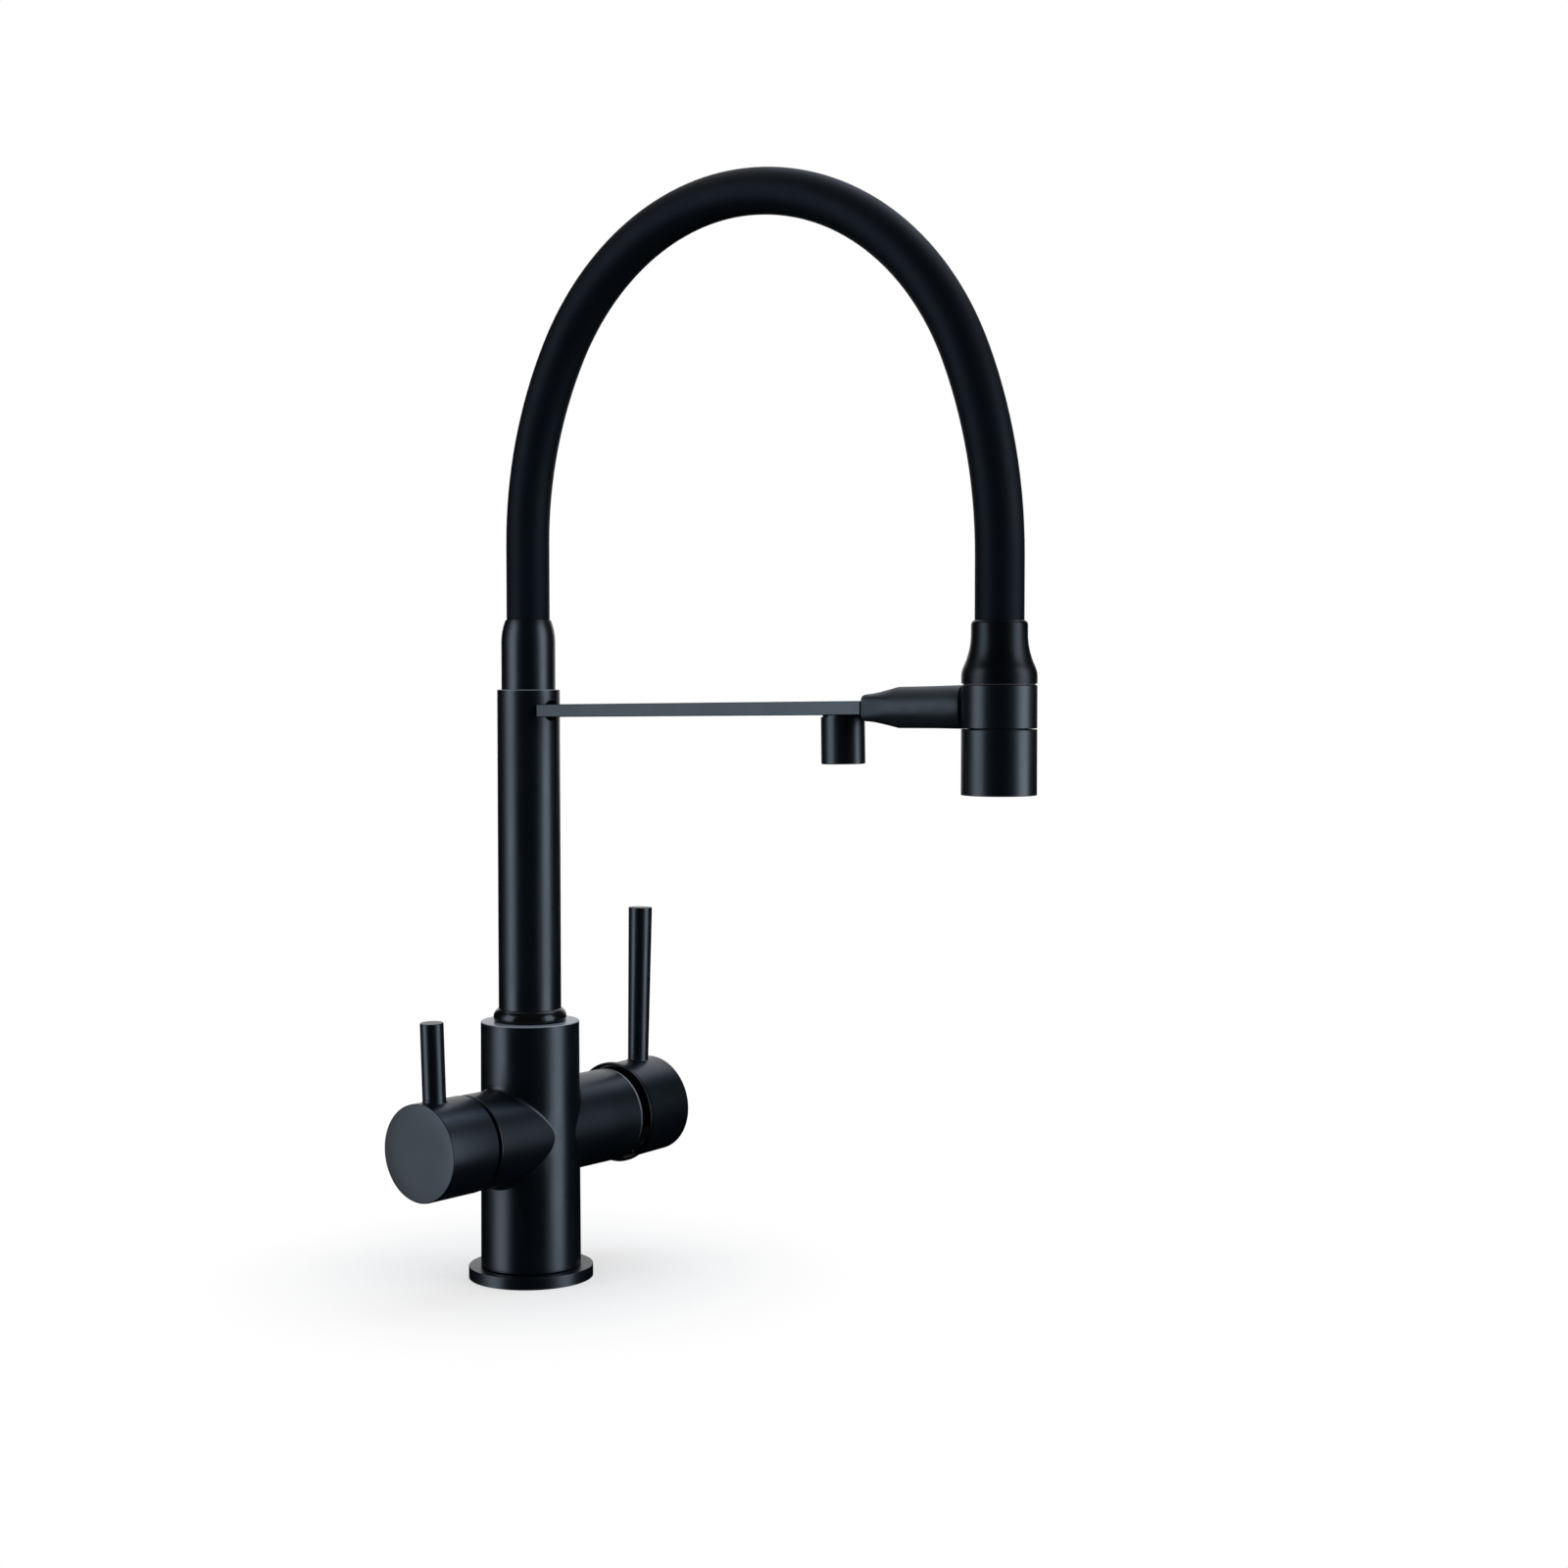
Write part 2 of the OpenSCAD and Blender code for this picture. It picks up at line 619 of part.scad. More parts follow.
module tap_body() {
    hot_x = inlet_r * cos(inlet_angle);
    hot_y = inlet_r * sin(inlet_angle);
    cross_r = waterway_r - 0.4;
    mixed_foot_z = barrel_z + port_drop - waterway_r;
    color(body_black) difference() {
        body_solid();
        // Fixing stud and inlets
        translate([0, 0, -cut]) cylinder(d = stud_hole_d, h = stud_hole_depth + cut);
        inlet_cut(inlet_angle, barrel_z - port_drop + waterway_r);
        inlet_cut(-inlet_angle, barrel_z - port_drop + waterway_r);
        inlet_cut(180, barrel_z + waterway_r);
        // Hot and cold water run along to the cartridge's floor
        for (side = [-1, 1])
            translate([hot_x, side * hot_y, barrel_z - port_drop]) rotate([0, 90, 0])
                cylinder(r = cross_r, h = cartridge_floor_s - hot_x + cut);
        // Mixed water comes back from the floor and rises to the swivel socket
        translate([mixed_rise_x, 0, barrel_z + port_drop]) rotate([0, 90, 0])
            cylinder(r = cross_r, h = cartridge_floor_s - mixed_rise_x + cut);
        translate([mixed_rise_x, 0, mixed_foot_z])
            cylinder(r = waterway_r, h = socket_floor_z - mixed_foot_z + cut);
        // Filtered water enters the valve's floor and leaves beside the socket
        translate([-inlet_r, 0, barrel_z]) rotate([0, -90, 0])
            cylinder(r = cross_r, h = valve_seat_s - inlet_r + cut);
        translate([-side_channel_s, 0, barrel_z])
            cylinder(d = side_channel_d, h = port_z - barrel_z + side_channel_d / 2);
        translate([-side_channel_s, 0, port_z]) rotate([0, 90, 0])
            cylinder(d = port_d, h = side_channel_s - socket_r + cut);
        // Cartridge cavity with the nut's thread at its mouth
        mixer_axis() translate([0, 0, cartridge_floor_s])
            cylinder(r = cartridge_r + seat_gap, h = mixer_barrel_reach - cartridge_floor_s + cut);
        mixer_axis() translate([0, 0, nut_start_s])
            cylinder(r = nut_r + seat_gap, h = nut_thread_l + cut);
        // Filter valve cavity
        filter_axis() translate([0, 0, valve_seat_s])
            cylinder(d = valve_d + 2 * seat_gap, h = filter_barrel_reach - valve_seat_s + cut);
        // Swivel socket, the bush's counterbore and the retaining screw's thread
        translate([0, 0, socket_floor_z]) cylinder(r = socket_r, h = socket_depth + cut);
        translate([0, 0, body_top_z - bush_h])
            cylinder(r = socket_r + bush_wall + seat_gap, h = bush_h + cut);
        translate([0, 0, lock_z]) rotate([-90, 0, 0])
            cylinder(d = lock_screw_d + 2 * seat_gap, h = body_r + cut);
    }
}

module swivel_bush() {
    outer_r = socket_r + bush_wall;
    color(nylon_tone) {
        translate([0, 0, body_top_z - bush_h]) ring(outer_r, socket_r, bush_h);
        translate([0, 0, body_top_z]) ring(outer_r, socket_r, bush_washer);
    }
}

// Grub screw at the back of the body that keeps the spout in its socket
module lock_screw() {
    tip_y = lock_groove_r + move_gap;
    thread_y = socket_r + move_gap;
    head_y = body_top_r - lock_sink;
    color(steel_tone) difference() {
        union() {
            translate([0, tip_y, lock_z]) rotate([-90, 0, 0])
                cylinder(d = lock_dog_d, h = head_y - tip_y);
            translate([0, thread_y, lock_z]) rotate([-90, 0, 0])
                cylinder(d = lock_screw_d, h = head_y - thread_y);
        }
        translate([0, head_y - key_depth, lock_z]) rotate([-90, 0, 0])
            cylinder(d = key_d, h = key_depth + cut, $fn = 6);
    }
}

// Mixing cartridge: housing, port seals, fixed ceramic disc and retaining nut
module mixer_cartridge() {
    color("gray") mixer_axis() difference() {
        translate([0, 0, cartridge_foot_s]) cylinder(r = cartridge_r, h = cartridge_top_s - cartridge_foot_s);
        // Chamber for the discs and the turning carrier
        translate([0, 0, chamber_s])
            cylinder(r = carrier_r + run_gap, h = cartridge_top_s - chamber_s + cut);
        for (place = cartridge_ports)
            translate([place[0], place[1], cartridge_foot_s - cut])
                cylinder(r = waterway_r, h = chamber_s - cartridge_foot_s + cut);
        // Recesses for the three port seals
        for (place = cartridge_ports)
            translate([place[0], place[1], cartridge_foot_s - cut])
                cylinder(r = port_seal_r + seat_gap, h = cut + seal_ring_r);
    }
}

module cartridge_seals() {
    color(rubber_black) mixer_axis()
        for (place = cartridge_ports)
            translate([place[0], place[1], cartridge_foot_s])
                ring(port_seal_r, waterway_r + seat_gap, seal_ring_r);
}

module ceramic_disc() {
    color(ceramic_tone) mixer_axis() difference() {
        translate([0, 0, chamber_s]) cylinder(r = carrier_r - seat_gap, h = disc_t);
        for (place = cartridge_ports)
            translate([place[0] * disc_port_share, place[1] * disc_port_share, chamber_s - cut])
                cylinder(r = waterway_r / 2, h = disc_t + 2 * cut);
    }
}

module cartridge_nut() {
    mouth_r = carrier_r + 1;
    skirt_h = mixer_barrel_reach - cartridge_top_s;
    color(brass_tone) mixer_axis() translate([0, 0, cartridge_top_s])
        rotate_extrude() polygon([
            [mouth_r, 0],
            [nut_r, 0],
            [nut_r, skirt_h],
            [mouth_r + nut_dome_w, skirt_h + nut_dome_h],
            [mouth_r, skirt_h + nut_dome_h],
        ]);
}

// Quarter-turn ceramic headwork of the filtered-water valve
module filter_valve() {
    window_d = 4;
    thread_l = valve_hex_s - valve_shoulder_s;
    end_s = valve_hex_s + valve_hex_l;
    color(brass_tone) filter_axis() difference() {
        union() {
            translate([0, 0, valve_seat_s + seat_gap])
                cylinder(d = valve_nose_d, h = valve_nose_l);
            translate([0, 0, valve_shoulder_s]) cylinder(d = valve_d, h = thread_l);
            translate([0, 0, valve_hex_s]) cylinder(d = valve_hex_d, h = valve_hex_l, $fn = 6);
        }
        // Water comes in at the nose and leaves by a window in its side
        translate([0, 0, valve_seat_s - cut]) cylinder(r = waterway_r, h = valve_nose_l);
        translate([0, 0, valve_seat_s + valve_nose_l / 2]) rotate([0, 90, 0])
            cylinder(d = window_d, h = valve_nose_d);
        translate([0, 0, spindle_foot_s])
            cylinder(d = spindle_d + 2 * run_gap, h = end_s - spindle_foot_s + cut);
    }
}

module valve_seal() {
    washer_w = 1.5;
    color(rubber_black) filter_axis() translate([0, 0, filter_barrel_reach])
        ring(valve_d / 2 + washer_w, valve_d / 2 + seat_gap, valve_washer_t);
}

// Turned spigot that carries the spout and both water paths up from the body
module swivel_spigot() {
    body_h = body_top_z - spigot_foot_z;
    color(brass_tone) difference() {
        union() {
            translate([0, 0, spigot_foot_z]) cylinder(r = spigot_r, h = body_h + bush_washer);
            translate([0, 0, riser_foot_z])
                cylinder(r = riser_inner_r - seat_gap, h = spigot_neck);
        }
        for (z = [lower_seal_z, upper_seal_z])
            translate([0, 0, z - seal_ring_r - seat_gap])
                ring(spigot_r + cut, seal_groove_r, seal_ring_t + 2 * seat_gap);
        translate([0, 0, port_z - port_groove_h / 2])
            ring(spigot_r + cut, port_groove_r, port_groove_h);
        translate([0, 0, lock_z - lock_groove_h / 2])
            ring(spigot_r + cut, lock_groove_r, lock_groove_h);
        // Mixed water
        translate([0, mixed_bore_y, spigot_foot_z - cut])
            cylinder(d = mixed_bore_d, h = neck_top_z - spigot_foot_z + 2 * cut);
        // Filtered water, in from the groove and up to the pipe
        translate([0, -pipe_offset, port_z]) rotate([90, 0, 0])
            cylinder(d = port_d, h = spigot_r - pipe_offset);
        translate([0, -pipe_offset, port_z - port_d / 2])
            cylinder(d = port_d, h = neck_top_z - port_z);
        translate([0, -pipe_offset, neck_top_z - pipe_socket])
            cylinder(d = pipe_d + 2 * seat_gap, h = pipe_socket + cut);
    }
}

module swivel_seals() {
    color(rubber_black)
        for (z = [lower_seal_z, upper_seal_z])
            translate([0, 0, z]) seal_ring(spigot_r - seal_ring_r, seal_ring_r);
}

// Riser tube with its port for the arm
module riser_tube() {
    tube_h = riser_top_z - riser_foot_z;
    color(body_black) difference() {
        translate([0, 0, riser_foot_z]) rotate_extrude() polygon([
            [riser_inner_r, 0],
            [riser_r, 0],
            [riser_r, tube_h - edge],
            [riser_r - edge, tube_h],
            [neck_r + seat_gap, tube_h],
            [neck_r + seat_gap, tube_h - riser_lip],
            [riser_inner_r, tube_h - riser_lip],
        ]);
        arm_axis() rotate([90, 0, 0]) cylinder(d = arm_spigot_d + 2 * seat_gap, h = riser_r + cut);
    }
}

// Rounded ring between the riser and the body
module foot_ring() {
    ring_r = foot_ring_d / 2;
    inner_r = riser_r + seat_gap;
    color(gloss_black) translate([0, 0, riser_foot_z]) rotate_extrude() intersection() {
        translate([ring_r - foot_ring_round, foot_ring_belly]) circle(r = foot_ring_round);
        translate([inner_r, 0]) square([ring_r - inner_r, foot_ring_belly + foot_ring_round]);
    }
}

// Pipe that takes filtered water up inside the riser
module filter_pipe() {
    foot_z = neck_top_z - pipe_socket;
    top_z = head_foot_z + pipe_socket;
    color(nylon_tone) translate([0, -pipe_offset, foot_z])
        ring(pipe_d / 2, pipe_bore / 2, top_z - foot_z);
}

// Brass head in the riser: mixed water goes on to the hose, filtered water to the arm
module riser_head() {
    socket_y = riser_inner_r - arm_spigot_l;
    color(brass_tone) difference() {
        union() {
            translate([0, 0, head_foot_z])
                cylinder(r = riser_inner_r - seat_gap, h = head_h);
            translate([0, 0, lip_z]) cylinder(r = neck_r, h = riser_lip + neck_h);
            translate([0, 0, riser_top_z + neck_h])
                cylinder(r = tail_r, h = tail_top_z - riser_top_z - neck_h);
        }
        translate([0, 0, head_foot_z - cut])
            cylinder(d = tail_bore, h = tail_top_z - head_foot_z + 2 * cut);
        translate([0, -pipe_offset, head_foot_z - cut])
            cylinder(d = pipe_d + 2 * seat_gap, h = pipe_socket + cut);
        translate([0, -pipe_offset, head_foot_z])
            cylinder(d = head_passage_d, h = arm_z - head_foot_z);
        arm_axis() translate([0, -socket_y, 0]) rotate([90, 0, 0])
            cylinder(d = arm_spigot_d + 2 * seat_gap, h = arm_spigot_l + cut);
    }
}

// Ferrule with a rounded shoulder that holds the hose on the riser
module riser_ferrule() {
    shoulder_z = ferrule_h - ferrule_shoulder_h;
    half = ferrule_d / 2;
    mouth = ferrule_mouth_d / 2;
    shoulder_r = (pow(ferrule_shoulder_h, 2) + pow(half - mouth, 2)) / (2 * (half - mouth));
    color(body_black) translate([0, 0, riser_top_z]) difference() {
        intersection() {
            cylinder(r = half, h = ferrule_h);
            rotate_extrude() {
                square([half, shoulder_z]);
                intersection() {
                    translate([0, shoulder_z]) square([half, ferrule_shoulder_h]);
                    translate([half - shoulder_r, shoulder_z]) circle(r = shoulder_r, $fn = 360);
                }
            }
        }
        translate([0, 0, -cut]) cylinder(r = neck_r + seat_gap, h = neck_h + seat_gap + cut);
        translate([0, 0, neck_h]) cylinder(r = inner_hose_d / 2 + seat_gap, h = ferrule_h);
        translate([0, 0, ferrule_h - hose_grip])
            cylinder(r = hose_d / 2 + seat_gap, h = hose_grip + cut);
    }
}

// Points of a ring round the hose's route; a place is [s, z, heading]
function ring_points(place, r) = [
    for (k = [0:hose_sides - 1])
        let (turn = 360 * k / hose_sides, side = r * cos(turn))
            [r * sin(turn), side * sin(place[2]) - place[0], place[1] + side * cos(place[2])]
];

// Two triangles of a wall between rings i and i + 1, counted from the given first point
function wall_faces(i, k, first) =
    let (
        next = (k + 1) % hose_sides,
        a = first + i * hose_sides + k,
        b = first + i * hose_sides + next,
        c = b + hose_sides,
        d = a + hose_sides
    ) first == 0 ? [[a, b, c], [a, c, d]] : [[a, c, b], [a, d, c]];

// Two triangles of the end face between the outer and the inner ring
function end_faces(ring, k, first, is_far) =
    let (
        next = (k + 1) % hose_sides,
        a = ring * hose_sides + k,
        b = ring * hose_sides + next,
        c = b + first,
        d = a + first
    ) is_far ? [[a, b, c], [a, c, d]] : [[a, c, b], [a, d, c]];

// A hose swept along the arch from one end fitting to the other
module hose(outer_d, bore, riser_end_z) {
    route = concat([[0, riser_end_z, 90]], arch_route, [[reach, spray_hose_foot_z, -90]]);
    last = len(route) - 1;
    inner_first = len(route) * hose_sides;
    inner_r = bore / 2 / cos(180 / hose_sides);
    polyhedron(
        points = concat(
            [for (place = route) each ring_points(place, outer_d / 2)],
            [for (place = route) each ring_points(place, inner_r)]
        ),
        faces = concat(
            [for (i = [0:last - 1]) for (k = [0:hose_sides - 1]) each wall_faces(i, k, 0)],
            [for (i = [0:last - 1]) for (k = [0:hose_sides - 1])
                each wall_faces(i, k, inner_first)],
            [for (k = [0:hose_sides - 1]) each end_faces(0, k, inner_first, false)],
            [for (k = [0:hose_sides - 1]) each end_faces(last, k, inner_first, true)]
        )
    );
}

module rubber_hose() {
    color(hose_black) hose(hose_d, hose_bore, hose_foot_z);
}

module inner_hose() {
    color(steel_tone) hose(inner_hose_d, inner_hose_bore, riser_top_z + neck_h);
}

// Flat arm with its waterway, from the riser to the dock
module arm() {
    tail_s = riser_inner_r - arm_spigot_l;
    bar_end_s = dock_root_s - arm_joint;
    tongue_end_s = dock_root_s + arm_tongue_l;
    color(body_black) difference() {
        union() {
            difference() {
                arm_axis() translate([-arm_w / 2, -bar_end_s, -arm_t / 2])
                    cube([arm_w, bar_end_s, arm_t]);
                translate([0, 0, arm_z - arm_w]) cylinder(r = riser_r + seat_gap, h = 2 * arm_w);
            }
            arm_axis() translate([0, -tail_s, 0]) rotate([90, 0, 0])
                cylinder(d = arm_spigot_d, h = riser_r + 2 * seat_gap - tail_s);
            arm_axis() translate([-arm_tongue_w / 2, -tongue_end_s, -arm_t / 2])
                cube([arm_tongue_w, arm_tongue_l + arm_joint + cut, arm_t]);
        }
        arm_axis() translate([0, -tail_s + cut, 0]) rotate([90, 0, 0])
            cylinder(d = arm_bore, h = outlet_s - tail_s + cut);
        arm_axis() translate([0, -outlet_s, -arm_t / 2 - cut])
            cylinder(d = outlet_boss_d + 2 * seat_gap, h = outlet_boss_h + 2 * seat_gap + cut);
    }
}

// Outlet for filtered water under the arm
module filter_outlet() {
    outlet_r = outlet_d / 2;
    color(body_black) arm_axis() translate([0, -outlet_s, -arm_t / 2 - outlet_h]) difference() {
        union() {
            rotate_extrude() polygon([
                [0, 0],
                [outlet_r - edge, 0],
                [outlet_r, edge],
                [outlet_r, outlet_h - outlet_groove_h],
                [outlet_r - outlet_groove, outlet_h - outlet_groove_h],
                [outlet_r - outlet_groove, outlet_h],
                [0, outlet_h],
            ]);
            cylinder(d = outlet_boss_d, h = outlet_h + outlet_boss_h);
        }
        translate([0, 0, -cut]) cylinder(d = arm_bore, h = outlet_h + outlet_boss_h + 2 * cut);
        translate([0, 0, -cut])
            cylinder(r = outlet_r - outlet_wall, h = outlet_aerator_h + cut);
    }
}

// Honeycomb insert that softens the filtered water's stream
module outlet_aerator() {
    insert_r = outlet_d / 2 - outlet_wall - seat_gap;
    recess = 0.6;
    hole_d = 1.6;
    pitch = 2.4;
    rings = 2;
    color("dimgray") arm_axis() translate([0, -outlet_s, -arm_t / 2 - outlet_h + recess])
        difference() {
            cylinder(r = insert_r, h = outlet_aerator_h - recess - seat_gap);
            translate([0, 0, -cut]) cylinder(d = hole_d, h = outlet_aerator_h + 2 * cut);
            for (row = [1:rings])
                for (i = [0:6 * row - 1])
                    rotate([0, 0, i * 60 / row]) translate([row * pitch, 0, -cut])
                        cylinder(d = hole_d, h = outlet_aerator_h + 2 * cut);
        }
}

// Dock at the arm's end: a square root that grows into a round cone
module dock() {
    slab = 0.5;
    root_w = arm_w + 0.4;
    cone_l = dock_end_s - dock_round_s;
    tongue_w = arm_tongue_w + 2 * seat_gap;
    tongue_t = arm_t + 2 * seat_gap;
    tongue_l = arm_tongue_l + seat_gap;
    color(body_black) difference() {
        arm_axis() difference() {
            union() {
                hull() {
                    translate([0, -dock_root_s, 0]) rotate([90, 0, 0])
                        rounded_plate(root_w, dock_root_t, dock_root_r, slab);
                    translate([0, -dock_round_s, 0]) rotate([90, 0, 0])
                        cylinder(d = dock_round_d, h = slab, $fn = 64);
                }
                translate([0, -dock_round_s, 0]) rotate([90, 0, 0]) rotate_extrude() polygon([
                    [0, 0],
                    [dock_round_d / 2, 0],
                    [dock_end_d / 2, cone_l],
                    [dock_end_d / 2, cone_l + dock_lip_l],
                    [0, cone_l + dock_lip_l],
                ]);
            }
            translate([-tongue_w / 2, -dock_root_s - tongue_l, -tongue_t / 2])
                cube([tongue_w, tongue_l + cut, tongue_t]);
            translate([0, -magnet_pocket_s, 0]) rotate([90, 0, 0])
                cylinder(d = magnet_d + 2 * seat_gap, h = magnet_t + cut);
            // Seat of the rubber pad, inside the lip
            translate([0, -dock_end_s, 0]) rotate([90, 0, 0])
                cylinder(d = pad_d + 2 * seat_gap, h = dock_lip_l + cut);
        }
        // The lip is hollowed to follow the collar
        spray_axis() translate([0, 0, collar_foot_z - pad_d])
            cylinder(r = spray_r + dock_gap, h = collar_h + 2 * pad_d);
    }
}

// An upright plate with rounded corners
module rounded_plate(w, h, corner_r, t) {
    for (x = [-1, 1])
        for (y = [-1, 1])
            translate([x * (w / 2 - corner_r), y * (h / 2 - corner_r), 0])
                cylinder(r = corner_r, h = t, $fn = 32);
}

module dock_magnet() {
    color(steel_tone) arm_axis() translate([0, -magnet_pocket_s - seat_gap, 0]) rotate([90, 0, 0])
        cylinder(d = magnet_d, h = magnet_t - seat_gap);
}

// Rubber pad with a hollow face that the spray collar rests in
module dock_pad() {
    color(rubber_black) difference() {
        arm_axis() translate([0, -dock_end_s, 0]) rotate([90, 0, 0])
            cylinder(d = pad_d, h = pad_t + pad_d / 2);
        spray_axis() translate([0, 0, collar_foot_z - pad_d])
            cylinder(r = spray_r + move_gap, h = collar_h + 2 * pad_d);
    }
}

// Bell that joins the hose to the spray head
module spray_bell() {
    height = bell_top_z - bell_foot_z;
    bend_z = bell_rim_h + bell_shoulder_r * sin(bell_slope);
    color(body_black) spray_axis() translate([0, 0, bell_foot_z]) difference() {
        rotate_extrude() {
            square([spray_r, bell_rim_h]);
            // Shoulder that rounds inwards
            intersection() {
                translate([0, bell_rim_h]) square([spray_r, bend_z - bell_rim_h]);
                translate([spray_r - bell_shoulder_r, bell_rim_h])
                    circle(r = bell_shoulder_r, $fn = 180);
            }
            square([bell_neck_r, bend_z]);
            // Hollow curve up to the neck
            difference() {
                translate([0, bend_z]) square([spray_r, bell_flare_top - bend_z]);
                translate([bell_neck_r + bell_flare_r, bell_flare_top])
                    circle(r = bell_flare_r, $fn = 360);
            }
            translate([0, bell_flare_top])
                square([bell_neck_r, height - bell_flare_top - bell_mouth_r]);
            translate([bell_neck_r - bell_mouth_r, height - bell_mouth_r])
                intersection() {
                    circle(r = bell_mouth_r);
                    square(bell_mouth_r);
                }
            square([bell_neck_r - bell_mouth_r, height]);
        }
        translate([0, 0, -cut]) cylinder(r = core_neck_r + seat_gap, h = bell_thread_h + cut);
        translate([0, 0, -cut])
            cylinder(r = inner_hose_d / 2 + move_gap, h = height + 2 * cut);
        translate([0, 0, spray_hose_foot_z - bell_foot_z - move_gap])
            cylinder(r = hose_d / 2 + move_gap, h = hose_grip + move_gap + cut);
    }
}

module spray_collar() {
    height = collar_top_z - collar_foot_z;
    color(body_black) spray_axis() translate([0, 0, collar_foot_z]) rotate_extrude() polygon([
        [spray_inner_r, 0],
        [spray_r - edge, 0],
        [spray_r, edge],
        [spray_r, height - edge],
        [spray_r - edge, height],
        [spray_inner_r, height],
    ]);
}

// Steel plate behind the collar that the dock's magnet pulls on
module dock_plate() {
    plate_w = 14;
    margin = 2;
    height = collar_top_z - collar_foot_z - 2 * margin;
    color(steel_tone) spray_axis() intersection() {
        translate([0, 0, collar_foot_z + margin])
            ring(spray_inner_r - seat_gap, core_r + seat_gap, height);
        translate([-plate_w / 2, 0, collar_foot_z]) cube([plate_w, spray_r, collar_h]);
    }
}

// Waterway core: hose tail, body in the collar and the journal for the nozzle
module spray_core() {
    color("dimgray") spray_axis() difference() {
        union() {
            translate([0, 0, journal_foot_z])
                cylinder(r = journal_r, h = collar_foot_z - journal_foot_z);
            translate([0, 0, collar_foot_z]) cylinder(r = core_r, h = collar_top_z - collar_foot_z);
            // Rims that carry the collar, and the ring that shows in the joint above it
            for (z = [collar_foot_z, collar_top_z - core_rim_h])
                translate([0, 0, z]) cylinder(r = spray_inner_r - seat_gap, h = core_rim_h);
            translate([0, 0, collar_top_z]) cylinder(r = joint_ring_r, h = groove_h);
            translate([0, 0, collar_top_z]) cylinder(r = core_neck_r, h = bell_thread_h);
            translate([0, 0, collar_top_z])
                cylinder(r = spray_tail_r, h = bell_top_z - tail_sink - collar_top_z);
        }
        translate([0, 0, journal_foot_z - cut])
            cylinder(d = tail_bore, h = bell_top_z - journal_foot_z + 2 * cut);
        translate([0, 0, journal_foot_z - cut]) cylinder(
            d = check_valve_d + 2 * seat_gap,
            h = check_valve_z + check_valve_h + seat_gap - journal_foot_z + cut
        );
        // Groove for the journal's rubber ring
        translate([0, 0, journal_seal_z - seal_ring_r - seat_gap])
            ring(journal_r + cut, journal_r - seal_ring_t - seat_gap, seal_ring_t + 2 * seat_gap);
    }
}

module check_valve() {
    bore_r = 2;
    color(nylon_tone) spray_axis() translate([0, 0, check_valve_z])
        ring(check_valve_d / 2, bore_r, check_valve_h);
}

module journal_seal() {
    color(rubber_black) spray_axis() translate([0, 0, journal_seal_z])
        seal_ring(journal_r - seal_ring_r, seal_ring_r);
}

// Nozzle sleeve that turns on the core's journal
module nozzle_shell() {
    web_foot_z = journal_foot_z + 1;
    web_top_z = groove_low_z - 2;
    color(body_black) spray_axis() difference() {
        translate([0, 0, spray_bottom_z]) rotate_extrude() polygon([
            [0, 0],
            [spray_r - edge, 0],
            [spray_r, edge],
            [spray_r, nozzle_h - edge],
            [spray_r - edge, nozzle_h],
            [0, nozzle_h],
        ]);
        translate([0, 0, spray_bottom_z - cut])
            cylinder(r = spray_inner_r, h = web_foot_z - spray_bottom_z + cut);
        translate([0, 0, web_top_z]) cylinder(r = spray_inner_r, h = nozzle_h);
        translate([0, 0, spray_bottom_z])
            cylinder(r = journal_r + run_gap, h = nozzle_h + cut);
    }
}

// Disc that turns with the nozzle and opens the stream or the spray
module diverter_disc() {
    window_r = 2;
    color(nylon_tone) spray_axis() difference() {
        translate([0, 0, diverter_z]) cylinder(r = face_r, h = diverter_t);
        for (turn = [0:90:270])
            rotate([0, 0, turn]) translate([face_r / 2, 0, diverter_z - cut])
                cylinder(r = window_r, h = diverter_t + 2 * cut);
    }
}

// Centres of the spray holes, ring by ring
first_ring_holes = 14;
holes_more_per_ring = 6;
first_ring_r = stream_d / 2 + 2.6;
ring_pitch = 3;
function ring_holes(row) = first_ring_holes + holes_more_per_ring * row;
spray_holes = [
    for (row = [0:spray_rings - 1])
        for (i = [0:ring_holes(row) - 1])
            let (turn = i * 360 / ring_holes(row), r = first_ring_r + ring_pitch * row)
                [r * cos(turn), r * sin(turn)]
];

module spray_face() {
    color("dimgray") spray_axis() difference() {
        translate([0, 0, face_z]) cylinder(r = face_r, h = face_t);
        translate([0, 0, face_z - cut]) cylinder(d = stream_d + 2 * seat_gap, h = face_t + 2 * cut);
        for (place = spray_holes)
            translate([place[0], place[1], face_z - cut])
                cylinder(d = spray_hole_d, h = face_t + 2 * cut);
    }
}

// Soft nubs pressed through the spray holes
module spray_nubs() {
    nub_r = spray_hole_d / 2 - run_gap;
    color(rubber_black) spray_axis()
        for (place = spray_holes)
            translate([place[0], place[1], face_z - face_recess + seat_gap])
                ring(nub_r, nub_r / 2, face_recess + face_t);
}

// Aerator insert in the middle of the spray face
module stream_insert() {
    hole_d = 1.2;
    pitch = 2;
    insert_h = face_t + 3;
    color(nylon_tone) spray_axis() translate([0, 0, face_z]) difference() {
        cylinder(d = stream_d, h = insert_h);
        translate([0, 0, -cut]) cylinder(d = hole_d, h = insert_h + 2 * cut);
        for (i = [0:5])
            rotate([0, 0, i * 60]) translate([pitch, 0, -cut])
                cylinder(d = hole_d, h = insert_h + 2 * cut);
    }
}

